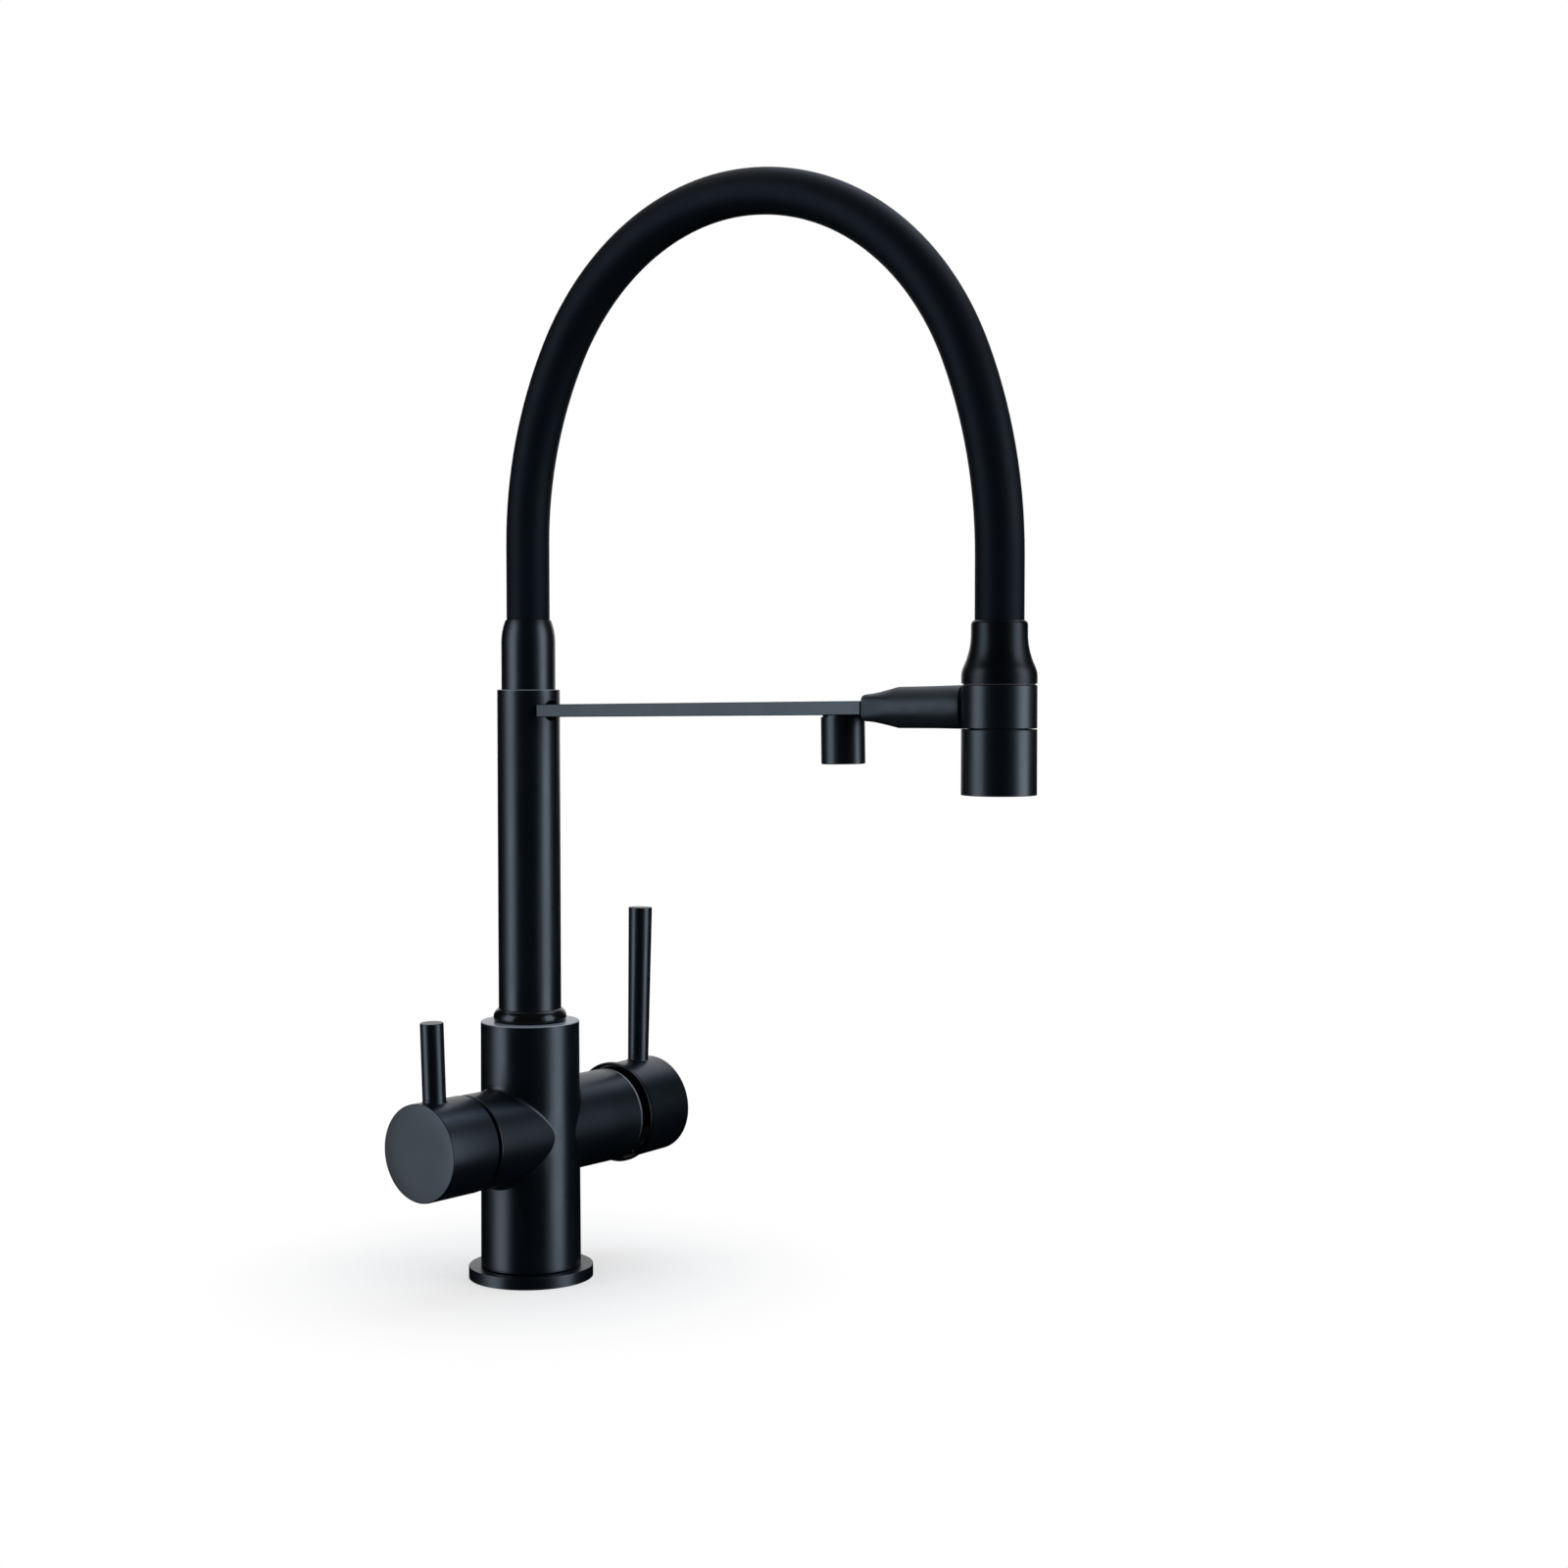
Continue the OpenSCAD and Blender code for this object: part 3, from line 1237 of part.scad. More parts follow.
// Filter knob with its lever, spindle and grub screw
module filter_knob() {
    color(body_black) difference() {
        filter_axis() difference() {
            translate([0, 0, knob_back_s])
                chamfered_bar(knob_r, knob_face_s - knob_back_s, knob_chamfer);
            translate([0, 0, knob_back_s - cut])
                cylinder(r = knob_r - knob_wall, h = knob_hollow + cut);
            translate([0, 0, knob_socket_s - cut])
                cylinder(d = spindle_d + 2 * seat_gap, h = spindle_grip + cut);
            // Grub screw from below
            translate([-knob_r - cut, 0, knob_screw_s]) rotate([0, 90, 0])
                cylinder(d = grub_d + 2 * seat_gap, h = knob_r + cut);
        }
        filter_lever_frame() lever_socket(filter_lever_d);
    }
}

// Stepped hole that a lever's foot and stub are fixed in
module lever_socket(foot_d) {
    translate([0, 0, -lever_stub_l - seat_gap])
        cylinder(d = lever_stub_d + 2 * seat_gap, h = lever_stub_l + foot_d);
    translate([0, 0, -lever_seat])
        cylinder(d = foot_d + 2 * seat_gap, h = lever_seat + foot_d);
}

// Stands at the knob's top with local Z up along the lever
module filter_lever_frame() {
    translate([-filter_lever_s, 0, barrel_z + knob_r]) rotate([0, -filter_lever_lean, 0]) children();
}

module filter_lever() {
    length = filter_lever_top_z - barrel_z - knob_r;
    color(body_black) filter_lever_frame() {
        translate([0, 0, -lever_seat])
            chamfered_bar(filter_lever_d / 2, length + lever_seat, edge);
        translate([0, 0, -lever_stub_l]) cylinder(d = lever_stub_d, h = lever_stub_l);
    }
}

module valve_spindle() {
    foot_s = spindle_foot_s + move_gap;
    end_s = knob_socket_s + spindle_grip - 2 * seat_gap;
    color(brass_tone) filter_axis() translate([0, 0, foot_s])
        chamfered_bar(spindle_d / 2, end_s - foot_s, edge);
}

// A grub screw with a six-sided key in its head, standing on its tip
module grub_screw(length) {
    difference() {
        cylinder(d = grub_d, h = length);
        translate([0, 0, length - key_depth])
            cylinder(d = key_d, h = key_depth + cut, $fn = 6);
    }
}

module knob_screw() {
    tip = spindle_d / 2 + seat_gap;
    color(steel_tone) filter_axis() translate([-tip, 0, knob_screw_s]) rotate([0, -90, 0])
        grub_screw(knob_r - tip - knob_screw_sink);
}

// Carrier that turns in the cartridge and holds the stem's pivot pin
module mixer_carrier() {
    slot_w = stem_w + 2 * move_gap;
    slot_floor_s = pivot_s - stem_w / 2 - 3;
    color(nylon_tone) mixer_axis() difference() {
        union() {
            translate([0, 0, carrier_foot_s])
                cylinder(r = carrier_r, h = cartridge_top_s - carrier_foot_s);
            translate([0, 0, cartridge_top_s - cut])
                cylinder(r = carrier_neck_r, h = carrier_neck_h + cut);
        }
        // Slot that the stem rocks in, open along the lift direction
        translate([-carrier_r - cut, -slot_w / 2, slot_floor_s])
            cube([2 * (carrier_r + cut), slot_w, cartridge_top_s]);
        translate([0, carrier_r, pivot_s]) rotate([90, 0, 0])
            cylinder(d = pivot_d + 2 * seat_gap, h = 2 * carrier_r);
    }
}

module stem_pivot_pin() {
    length = 2 * (carrier_neck_r - 1);
    color(steel_tone) mixer_axis() translate([0, length / 2, pivot_s]) rotate([90, 0, 0])
        cylinder(d = pivot_d, h = length);
}

// Stem that the handle cap is fixed on
module mixer_stem() {
    color(steel_tone) handle_axis() difference() {
        union() {
            translate([-stem_w / 2, -stem_w / 2, pivot_s]) cube([stem_w, stem_w, stem_l]);
            translate([0, stem_w / 2, pivot_s]) rotate([90, 0, 0])
                cylinder(d = stem_w, h = stem_w);
        }
        translate([0, stem_w, pivot_s]) rotate([90, 0, 0])
            cylinder(d = pivot_d + 2 * run_gap, h = 2 * stem_w);
    }
}

// Handle cap with its rim, inner hub and seat for the lever
module mixer_cap() {
    pocket_w = stem_w + 2 * seat_gap;
    pocket_end_s = pivot_s + stem_l + seat_gap;
    floor_s = cap_end_s - cap_floor_t;
    length = cap_end_s - cap_open_s;
    boss_d = mixer_lever_foot_d + 3;
    skin_r = cap_r - cap_wall / 2;
    color(body_black) difference() {
        handle_axis() difference() {
            union() {
                difference() {
                    union() {
                        translate([0, 0, cap_open_s]) chamfered_bar(cap_r, length, cap_chamfer);
                        translate([0, 0, cap_open_s])
                            cylinder(r = cap_rim_d / 2, h = cap_rim_w);
                    }
                    translate([0, 0, cap_open_s - cut])
                        cylinder(r = cap_inner_r, h = floor_s - cap_open_s + cut);
                    translate([0, 0, cap_open_s - cut])
                        cylinder(r = cap_rim_d / 2 - cap_rim_wall, h = cap_rim_w + cut);
                }
                translate([0, 0, hub_foot_s]) cylinder(r = hub_r, h = cap_end_s - hub_foot_s - cut);
                // Boss under the lever's foot
                intersection() {
                    translate([0, 0, mixer_lever_s]) rotate([0, -90, 0])
                        cylinder(d = boss_d, h = skin_r);
                    translate([0, 0, hub_foot_s]) cylinder(r = skin_r, h = length);
                }
            }
            translate([-pocket_w / 2, -pocket_w / 2, cap_open_s])
                cube([pocket_w, pocket_w, pocket_end_s - cap_open_s]);
            // Grub screw from below
            translate([0, 0, cap_screw_s]) rotate([0, 90, 0])
                cylinder(d = grub_d + 2 * seat_gap, h = cap_r + cut);
        }
        mixer_lever_frame() lever_socket(mixer_lever_foot_d);
    }
}

// Stands at the cap's top with local Z up along the lever
module mixer_lever_frame() {
    translate([mixer_lever_s, 0, cap_top_z]) rotate([0, mixer_lever_lean, 0]) children();
}

module mixer_lever() {
    length = mixer_lever_top_z - cap_top_z;
    foot_r = mixer_lever_foot_d / 2;
    top_r = mixer_lever_top_d / 2;
    color(body_black) mixer_lever_frame() {
        rotate_extrude() polygon([
            [0, -lever_seat],
            [foot_r, -lever_seat],
            [foot_r, 0],
            [top_r, length - edge],
            [top_r - edge, length],
            [0, length],
        ]);
        translate([0, 0, -lever_stub_l]) cylinder(d = lever_stub_d, h = lever_stub_l);
    }
}

module cap_screw() {
    tip = stem_w / 2 + seat_gap;
    color(steel_tone) handle_axis() translate([tip, 0, cap_screw_s]) rotate([0, 90, 0])
        grub_screw(hub_r - tip);
}

flange();
flange_seal();
tap_body();
swivel_bush();
lock_screw();
mixer_cartridge();
cartridge_seals();
ceramic_disc();
cartridge_nut();
filter_valve();
valve_seal();
swivel_spigot();
swivel_seals();
riser_tube();
foot_ring();
filter_pipe();
riser_head();
riser_ferrule();
rubber_hose();
inner_hose();
arm();
filter_outlet();
outlet_aerator();
dock();
dock_magnet();
dock_pad();
spray_bell();
spray_collar();
dock_plate();
spray_core();
check_valve();
journal_seal();
nozzle_shell();
diverter_disc();
spray_face();
spray_nubs();
stream_insert();
filter_knob();
filter_lever();
valve_spindle();
knob_screw();
mixer_carrier();
mixer_stem();
stem_pivot_pin();
mixer_cap();
mixer_lever();
cap_screw();
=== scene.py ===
import json
from collections import namedtuple
from math import cos, pi, radians, sin, sqrt

import bpy
from mathutils import Matrix, Vector


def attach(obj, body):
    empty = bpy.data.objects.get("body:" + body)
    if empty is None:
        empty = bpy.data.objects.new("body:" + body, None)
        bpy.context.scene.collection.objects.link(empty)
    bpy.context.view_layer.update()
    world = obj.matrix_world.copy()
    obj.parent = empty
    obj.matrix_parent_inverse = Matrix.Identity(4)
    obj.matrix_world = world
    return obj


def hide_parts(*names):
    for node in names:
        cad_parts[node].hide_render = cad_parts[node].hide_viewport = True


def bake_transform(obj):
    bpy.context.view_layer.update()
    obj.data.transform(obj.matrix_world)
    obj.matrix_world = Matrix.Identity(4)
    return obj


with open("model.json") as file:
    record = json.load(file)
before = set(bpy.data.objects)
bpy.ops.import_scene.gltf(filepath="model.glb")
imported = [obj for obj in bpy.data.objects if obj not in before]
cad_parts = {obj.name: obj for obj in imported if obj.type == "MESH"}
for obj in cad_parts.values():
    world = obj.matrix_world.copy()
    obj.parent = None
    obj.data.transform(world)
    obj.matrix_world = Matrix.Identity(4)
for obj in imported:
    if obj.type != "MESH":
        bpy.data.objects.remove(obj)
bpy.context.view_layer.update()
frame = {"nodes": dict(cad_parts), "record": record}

bl_info = {
    "name": "Kitchen Mixer Tap",
    "version": (1, 0, 0),
    "blender": (4, 5, 0),
    "location": "3D View > Sidebar > Tap",
    "description": "Dresses the packed mixer tap with finished pieces and sets its studio",
    "category": "Object",
}

MM = 0.001

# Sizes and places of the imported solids, in millimetres; an S runs out level from the column's axis
REACH = 250
COLUMN_R = 22.1
BARREL_Z, BARREL_R = 66, 21.3
FILTER_BARREL_S, MIXER_BARREL_S = 40.0, 53.0
KNOB_BACK_S, KNOB_FACE_S, KNOB_R = 42.0, 69.1, 21.5
PIVOT_S, CAP_TILT, CAP_R = 45.5, radians(1.8), 22.4
FILTER_LEVER_S, FILTER_LEVER_LEAN = 59.7, radians(-2.2)
MIXER_LEVER_S, MIXER_LEVER_LEAN = 73.7, radians(1.5)
# The tilted cap's axis is this high under its lever
CAP_AXIS_Z = 66.886
COLLAR_R = 14.7
GRUB_HOLE_R = 2.07

# The hose's route
ARCH_Z = 471
ARCH_S = 121.5
RISER_BEND_R, RISER_BEND_ANGLE = 168, radians(30)
SPRAY_BEND_R, SPRAY_BEND_ANGLE = 202, radians(23)
HOSE_FOOT_Z = 284
HOSE_END_Z = 281

# The arm leaves the riser at this height, climbs a little, and ends in the dock's square root
ARM_Z = 255.5
ARM_RISE = radians(0.93)
ARM_START_S, ARM_END_S = 13.2, 190.2
DOCK_ROOT_S, DOCK_ROUND_S, DOCK_SEAT_S = 190.5, 203.2, 232.6

# The coats' highlights are a little blue
COOL_SHEEN = "#CADFF6"


def linear(code):
    """An sRGB hex colour as linear RGBA."""
    parts = [int(code[i:i + 2], 16) / 255 for i in (1, 3, 5)]
    return tuple(c / 12.92 if c <= 0.04045 else ((c + 0.055) / 1.055) ** 2.4 for c in parts) + (1,)


class FinishSettings(bpy.types.PropertyGroup):
    """Colours and gloss of the tap's finishes"""
    paint: bpy.props.FloatVectorProperty(
        name="Paint", description="Colour of the satin powder coat",
        subtype="COLOR", size=4, min=0, max=1, default=linear("#030810"))
    paint_roughness: bpy.props.FloatProperty(
        name="Paint roughness", description="How widely the powder coat spreads its highlights",
        subtype="FACTOR", min=0, max=1, default=0.34)
    trim: bpy.props.FloatVectorProperty(
        name="Trim", description="Colour of the glossy ring at the riser's foot",
        subtype="COLOR", size=4, min=0, max=1, default=linear("#0A0B0C"))
    rubber: bpy.props.FloatVectorProperty(
        name="Hose rubber", description="Colour of the hose's rubber cover",
        subtype="COLOR", size=4, min=0, max=1, default=linear("#050A11"))


class HoseSettings(bpy.types.PropertyGroup):
    """Sizes of the arched hose"""
    diameter: bpy.props.FloatProperty(
        name="Diameter", description="Outside diameter of the hose",
        subtype="DISTANCE", unit="LENGTH", min=0.015, max=0.0196, default=0.0192)
    sides: bpy.props.IntProperty(
        name="Sides", description="Number of faces round the hose", min=24, max=128, default=72)


class ArmSettings(bpy.types.PropertyGroup):
    """Sizes of the flat arm"""
    width: bpy.props.FloatProperty(
        name="Width", description="Width of the flat arm",
        subtype="DISTANCE", unit="LENGTH", min=0.016, max=0.02, default=0.018)
    thickness: bpy.props.FloatProperty(
        name="Thickness", description="Thickness of the flat arm",
        subtype="DISTANCE", unit="LENGTH", min=0.005, max=0.007, default=0.0056)
    edge: bpy.props.FloatProperty(
        name="Edge", description="Width of the rounding along the arm's edges",
        subtype="DISTANCE", unit="LENGTH", min=0.0001, max=0.001, default=0.00045)


def add(tree, kind, inputs=None, **settings):
    """Adds a node, sets its own settings, and fills its inputs with values or links."""
    node = tree.nodes.new(kind)
    for key, value in settings.items():
        setattr(node, key, value)
    for key, value in (inputs or {}).items():
        socket = node.inputs[key]
        if isinstance(value, bpy.types.NodeSocket):
            tree.links.new(value, socket)
        else:
            socket.default_value = value
    return node


def new_material(name):
    """A material with an empty node tree."""
    material = bpy.data.materials.new(name)
    material.use_nodes = True
    material.node_tree.nodes.clear()
    return material, material.node_tree


def close_material(tree, shader):
    """Sends the last shader to the material's output."""
    add(tree, "ShaderNodeOutputMaterial", {"Surface": shader.outputs[0]})


def powder_coat():
    """Satin black powder coat on brass: sprayed as dust and baked, which leaves a faint orange peel."""
    settings = bpy.context.scene.tap_finish
    material, tree = new_material("satin_black_powder_coat")
    place = add(tree, "ShaderNodeTexCoord").outputs["Object"]
    # The real peel is about 0.5 mm wide; it is drawn at 1.4 mm so that it shows
    peel = add(tree, "ShaderNodeTexNoise", {
        "Vector": place, "Scale": 1 / 0.0014, "Detail": 2, "Roughness": 0.5})
    # Film thickness drifts over some 30 mm and changes the gloss a little
    drift = add(tree, "ShaderNodeTexNoise", {
        "Vector": place, "Scale": 1 / 0.03, "Detail": 3, "Roughness": 0.55})
    rough = settings.paint_roughness
    gloss = add(tree, "ShaderNodeMapRange", {
        "Value": drift.outputs["Fac"], "From Min": 0.3, "From Max": 0.7,
        "To Min": rough - 0.035, "To Max": rough + 0.035})
    tone = add(tree, "ShaderNodeMix", {
        "Factor": drift.outputs["Fac"], "A": linear("#02060A"), "B": settings.paint}, data_type="RGBA")
    bump = add(tree, "ShaderNodeBump", {
        "Strength": 0.12, "Distance": 0.00003, "Height": peel.outputs["Fac"]})
    shader = add(tree, "ShaderNodeBsdfPrincipled", {
        "Base Color": tone.outputs["Result"], "Roughness": gloss.outputs["Result"],
        "Normal": bump.outputs["Normal"], "IOR": 1.5, "Specular Tint": linear(COOL_SHEEN)})
    close_material(tree, shader)
    return material


def painted_edge_highlight():
    """The powder coat with a painted highlight for a rounded machined edge: a pale fine line, palest where it
    faces up, as painted light from above.
    """
    material, tree = new_material("powder_coat_painted_edge_highlight")
    coords = add(tree, "ShaderNodeTexCoord")
    # The painted highlight's strength, gloss and bump vary at random over some 3 mm
    uneven = add(tree, "ShaderNodeTexNoise", {
        "Vector": coords.outputs["Object"], "Scale": 1 / 0.003, "Detail": 3, "Roughness": 0.6})
    highlight_peak = add(tree, "ShaderNodeMapRange", {
        "Value": uneven.outputs["Fac"], "To Min": 0.75, "To Max": 1.15})
    # Edges that face up get more of the pale tone: painted light from above
    facing = add(tree, "ShaderNodeSeparateXYZ", {"Vector": coords.outputs["Normal"]})
    painted_top_light = add(tree, "ShaderNodeMapRange", {
        "Value": facing.outputs["Z"], "From Min": -0.45, "From Max": 0.85,
        "To Min": 0.0, "To Max": highlight_peak.outputs["Result"]})
    # The pale tone is a painted highlight on the dark coat
    tone = add(tree, "ShaderNodeMix", {
        "Factor": painted_top_light.outputs["Result"], "A": linear("#05090D"), "B": linear("#78828E")}, data_type="RGBA")
    gloss = add(tree, "ShaderNodeMapRange", {
        "Value": uneven.outputs["Fac"], "To Min": 0.24, "To Max": 0.34})
    bump = add(tree, "ShaderNodeBump", {
        "Strength": 0.1, "Distance": 0.00002, "Height": uneven.outputs["Fac"]})
    shader = add(tree, "ShaderNodeBsdfPrincipled", {
        "Base Color": tone.outputs["Result"], "Roughness": gloss.outputs["Result"],
        "Normal": bump.outputs["Normal"], "IOR": 1.5})
    close_material(tree, shader)
    return material


def coated_moulding(name, low, high, roughness, level):
    """Black paint on a moulding: no peel, but the mould's fine grain, and flow marks that drift over it."""
    material, tree = new_material(name)
    place = add(tree, "ShaderNodeTexCoord").outputs["Object"]
    # Mould grain is about 0.2 mm wide and is drawn 0.7 mm wide; flow marks are some 9 mm wide
    grain = add(tree, "ShaderNodeTexNoise", {
        "Vector": place, "Scale": 1 / 0.0007, "Detail": 3, "Roughness": 0.6})
    flow = add(tree, "ShaderNodeTexNoise", {
        "Vector": place, "Scale": 1 / 0.009, "Detail": 3, "Roughness": 0.5})
    tone = add(tree, "ShaderNodeMix", {
        "Factor": flow.outputs["Fac"], "A": linear(low), "B": linear(high)}, data_type="RGBA")
    gloss = add(tree, "ShaderNodeMapRange", {
        "Value": flow.outputs["Fac"], "From Min": 0.3, "From Max": 0.7,
        "To Min": roughness - 0.04, "To Max": roughness + 0.04})
    bump = add(tree, "ShaderNodeBump", {
        "Strength": 0.1, "Distance": 0.00002, "Height": grain.outputs["Fac"]})
    shader = add(tree, "ShaderNodeBsdfPrincipled", {
        "Base Color": tone.outputs["Result"], "Roughness": gloss.outputs["Result"],
        "Normal": bump.outputs["Normal"], "IOR": 1.5, "Specular IOR Level": level,
        "Specular Tint": linear(COOL_SHEEN)})
    close_material(tree, shader)
    return material


def gloss_trim():
    """Polished black lacquer on the ring at the riser's foot: clear mirror streaks with a faint haze."""
    settings = bpy.context.scene.tap_finish
    material, tree = new_material("polished_black_lacquer")
    place = add(tree, "ShaderNodeTexCoord").outputs["Object"]
    # Polishing leaves haze in patches of some 4 mm
    haze = add(tree, "ShaderNodeTexNoise", {
        "Vector": place, "Scale": 1 / 0.004, "Detail": 4, "Roughness": 0.6})
    gloss = add(tree, "ShaderNodeMapRange", {
        "Value": haze.outputs["Fac"], "To Min": 0.15, "To Max": 0.22})
    bump = add(tree, "ShaderNodeBump", {
        "Strength": 0.05, "Distance": 0.00002, "Height": haze.outputs["Fac"]})
    shader = add(tree, "ShaderNodeBsdfPrincipled", {
        "Base Color": settings.trim, "Roughness": gloss.outputs["Result"],
        "Normal": bump.outputs["Normal"], "IOR": 1.52, "Specular IOR Level": 0.3,
        "Specular Tint": linear(COOL_SHEEN)})
    close_material(tree, shader)
    return material


def hose_rubber():
    """EPDM rubber cover, extruded over the braid: matt, with fine drawing lines and a soft bloom."""
    settings = bpy.context.scene.tap_finish
    material, tree = new_material("extruded_epdm_rubber")
    place = add(tree, "ShaderNodeTexCoord").outputs["Object"]
    # Drawing lines about 0.3 mm wide are drawn 1.1 mm wide; the bloom drifts over some 20 mm
    grain = add(tree, "ShaderNodeTexNoise", {
        "Vector": place, "Scale": 1 / 0.0011, "Detail": 3, "Roughness": 0.65})
    bloom = add(tree, "ShaderNodeTexNoise", {
        "Vector": place, "Scale": 1 / 0.02, "Detail": 4, "Roughness": 0.6})
    tone = add(tree, "ShaderNodeMix", {
        "Factor": bloom.outputs["Fac"], "A": linear("#03070B"), "B": settings.rubber}, data_type="RGBA")
    gloss = add(tree, "ShaderNodeMapRange", {
        "Value": bloom.outputs["Fac"], "To Min": 0.5, "To Max": 0.62})
    bump = add(tree, "ShaderNodeBump", {
        "Strength": 0.18, "Distance": 0.00004, "Height": grain.outputs["Fac"]})
    shader = add(tree, "ShaderNodeBsdfPrincipled", {
        "Base Color": tone.outputs["Result"], "Roughness": gloss.outputs["Result"],
        "Normal": bump.outputs["Normal"], "IOR": 1.48, "Specular IOR Level": 0.12,
        "Specular Tint": linear("#B8D4F8")})
    close_material(tree, shader)
    return material


def plastic(name, low, high, roughness, grain_mm, ior=1.5):
    """A moulded or sintered material between two tones, with its grain as bump and as gloss."""
    material, tree = new_material(name)
    place = add(tree, "ShaderNodeTexCoord").outputs["Object"]
    # The real grain is 0.2 to 0.4 mm wide, and is drawn coarser
    grain = add(tree, "ShaderNodeTexNoise", {
        "Vector": place, "Scale": 1 / (grain_mm * MM), "Detail": 4, "Roughness": 0.6})
    tone = add(tree, "ShaderNodeMix", {
        "Factor": grain.outputs["Fac"], "A": linear(low), "B": linear(high)}, data_type="RGBA")
    gloss = add(tree, "ShaderNodeMapRange", {
        "Value": grain.outputs["Fac"], "To Min": roughness - 0.05, "To Max": roughness + 0.05})
    bump = add(tree, "ShaderNodeBump", {
        "Strength": 0.15, "Distance": 0.00003, "Height": grain.outputs["Fac"]})
    shader = add(tree, "ShaderNodeBsdfPrincipled", {
        "Base Color": tone.outputs["Result"], "Roughness": gloss.outputs["Result"],
        "Normal": bump.outputs["Normal"], "IOR": ior})
    close_material(tree, shader)
    return material


def turned_metal(name, low, high, roughness, stretch):
    """Bare metal with fine tool marks drawn out along one direction."""
    material, tree = new_material(name)
    place = add(tree, "ShaderNodeTexCoord").outputs["Object"]
    drawn = add(tree, "ShaderNodeMapping", {"Vector": place, "Scale": stretch})
    # Tool marks about 0.15 mm apart are drawn 0.4 mm apart so that they show
    marks = add(tree, "ShaderNodeTexNoise", {
        "Vector": drawn.outputs["Vector"], "Scale": 1 / 0.0004, "Detail": 3, "Roughness": 0.6})
    tone = add(tree, "ShaderNodeMix", {
        "Factor": marks.outputs["Fac"], "A": linear(low), "B": linear(high)}, data_type="RGBA")
    gloss = add(tree, "ShaderNodeMapRange", {
        "Value": marks.outputs["Fac"], "To Min": roughness - 0.08, "To Max": roughness + 0.08})
    bump = add(tree, "ShaderNodeBump", {
        "Strength": 0.2, "Distance": 0.00002, "Height": marks.outputs["Fac"]})
    shader = add(tree, "ShaderNodeBsdfPrincipled", {
        "Base Color": tone.outputs["Result"], "Roughness": gloss.outputs["Result"],
        "Normal": bump.outputs["Normal"], "Metallic": 1.0})
    close_material(tree, shader)
    return material


def make_materials():
    """The finish of each material slot in the record."""
    return {
        "body_paint": powder_coat(),
        "gloss_trim": gloss_trim(),
        "hose_rubber": hose_rubber(),
        # Nitrile rings are compression moulded and greased
        "seal_rubber": plastic("moulded_nitrile_rubber", "#08090B", "#0F1114", 0.5, 0.8, 1.52),
        "braid": turned_metal("stainless_wire_braid", "#8E9194", "#B9BCBF", 0.35, (1, 1, 0.2)),
        # CW617N brass, turned and left bare inside the tap
        "brass": turned_metal("turned_brass", "#9A7A3C", "#C9A862", 0.3, (0.15, 1, 1)),
        "steel": turned_metal("bright_stainless_steel", "#A2A5A8", "#C6C8CA", 0.28, (1, 1, 0.15)),
        "nylon": plastic("moulded_black_nylon", "#0D0D0E", "#191A1C", 0.45, 0.9, 1.53),
        "grey_plastic": plastic("moulded_grey_silicone", "#3A3E43", "#4B5056", 0.5, 0.9, 1.43),
        # Alumina discs are lapped flat
        "ceramic": plastic("lapped_alumina", "#D9D6CE", "#E8E6E0", 0.22, 1.5, 1.76),
    }


# The material's name for each of the record's slots, and for each finish that only the scene has
FINISH_NAMES = {}


def finish(look):
    """The material of a slot or of one of the scene's own finishes."""
    return bpy.data.materials[FINISH_NAMES[look]]


def show(obj, look):
    """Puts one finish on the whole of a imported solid."""
    for held in obj.material_slots:
        held.material = finish(look)


def start():
    """Leaves edit mode and deselects everything."""
    if bpy.context.object is not None and bpy.context.object.mode != "OBJECT":
        bpy.ops.object.mode_set(mode="OBJECT")
    bpy.ops.object.select_all(action="DESELECT")


def only(obj):
    """Selects one object and makes it active."""
    start()
    obj.select_set(True)
    bpy.context.view_layer.objects.active = obj


def named(name):
    """Names the new active object and bakes its place into its mesh."""
    obj = bpy.context.object
    obj.name = name
    obj.data.name = name
    bpy.ops.object.transform_apply(location=True, rotation=True, scale=True)
    return obj


def edit(obj):
    """Opens an object in edit mode, beside what is selected."""
    bpy.context.view_layer.objects.active = obj
    obj.select_set(True)
    bpy.ops.object.mode_set(mode="EDIT")


def pick(obj, test):
    """Selects the vertices that pass the test, in edit mode."""
    bpy.ops.mesh.select_mode(type="VERT")
    bpy.ops.mesh.select_all(action="DESELECT")
    bpy.ops.object.mode_set(mode="OBJECT")
    for v in obj.data.vertices:
        v.select = bool(test(v.co))
    bpy.ops.object.mode_set(mode="EDIT")


def close_mesh(obj):
    """Merges doubles, turns the faces outwards and leaves edit mode."""
    bpy.ops.mesh.select_all(action="SELECT")
    bpy.ops.mesh.remove_doubles(threshold=2e-6)
    bpy.ops.mesh.normals_make_consistent(inside=False)
    bpy.ops.object.mode_set(mode="OBJECT")


def soften(obj, width, segments=3, angle=30):
    """Rounds the sharp edges and keeps the flats' own shading."""
    only(obj)
    bpy.ops.object.shade_smooth()
    bevel = obj.modifiers.new("edge", "BEVEL")
    bevel.width = width
    bevel.segments = segments
    bevel.limit_method = "ANGLE"
    bevel.angle_limit = radians(angle)
    bevel.harden_normals = True
    bpy.ops.object.modifier_apply(modifier="edge")


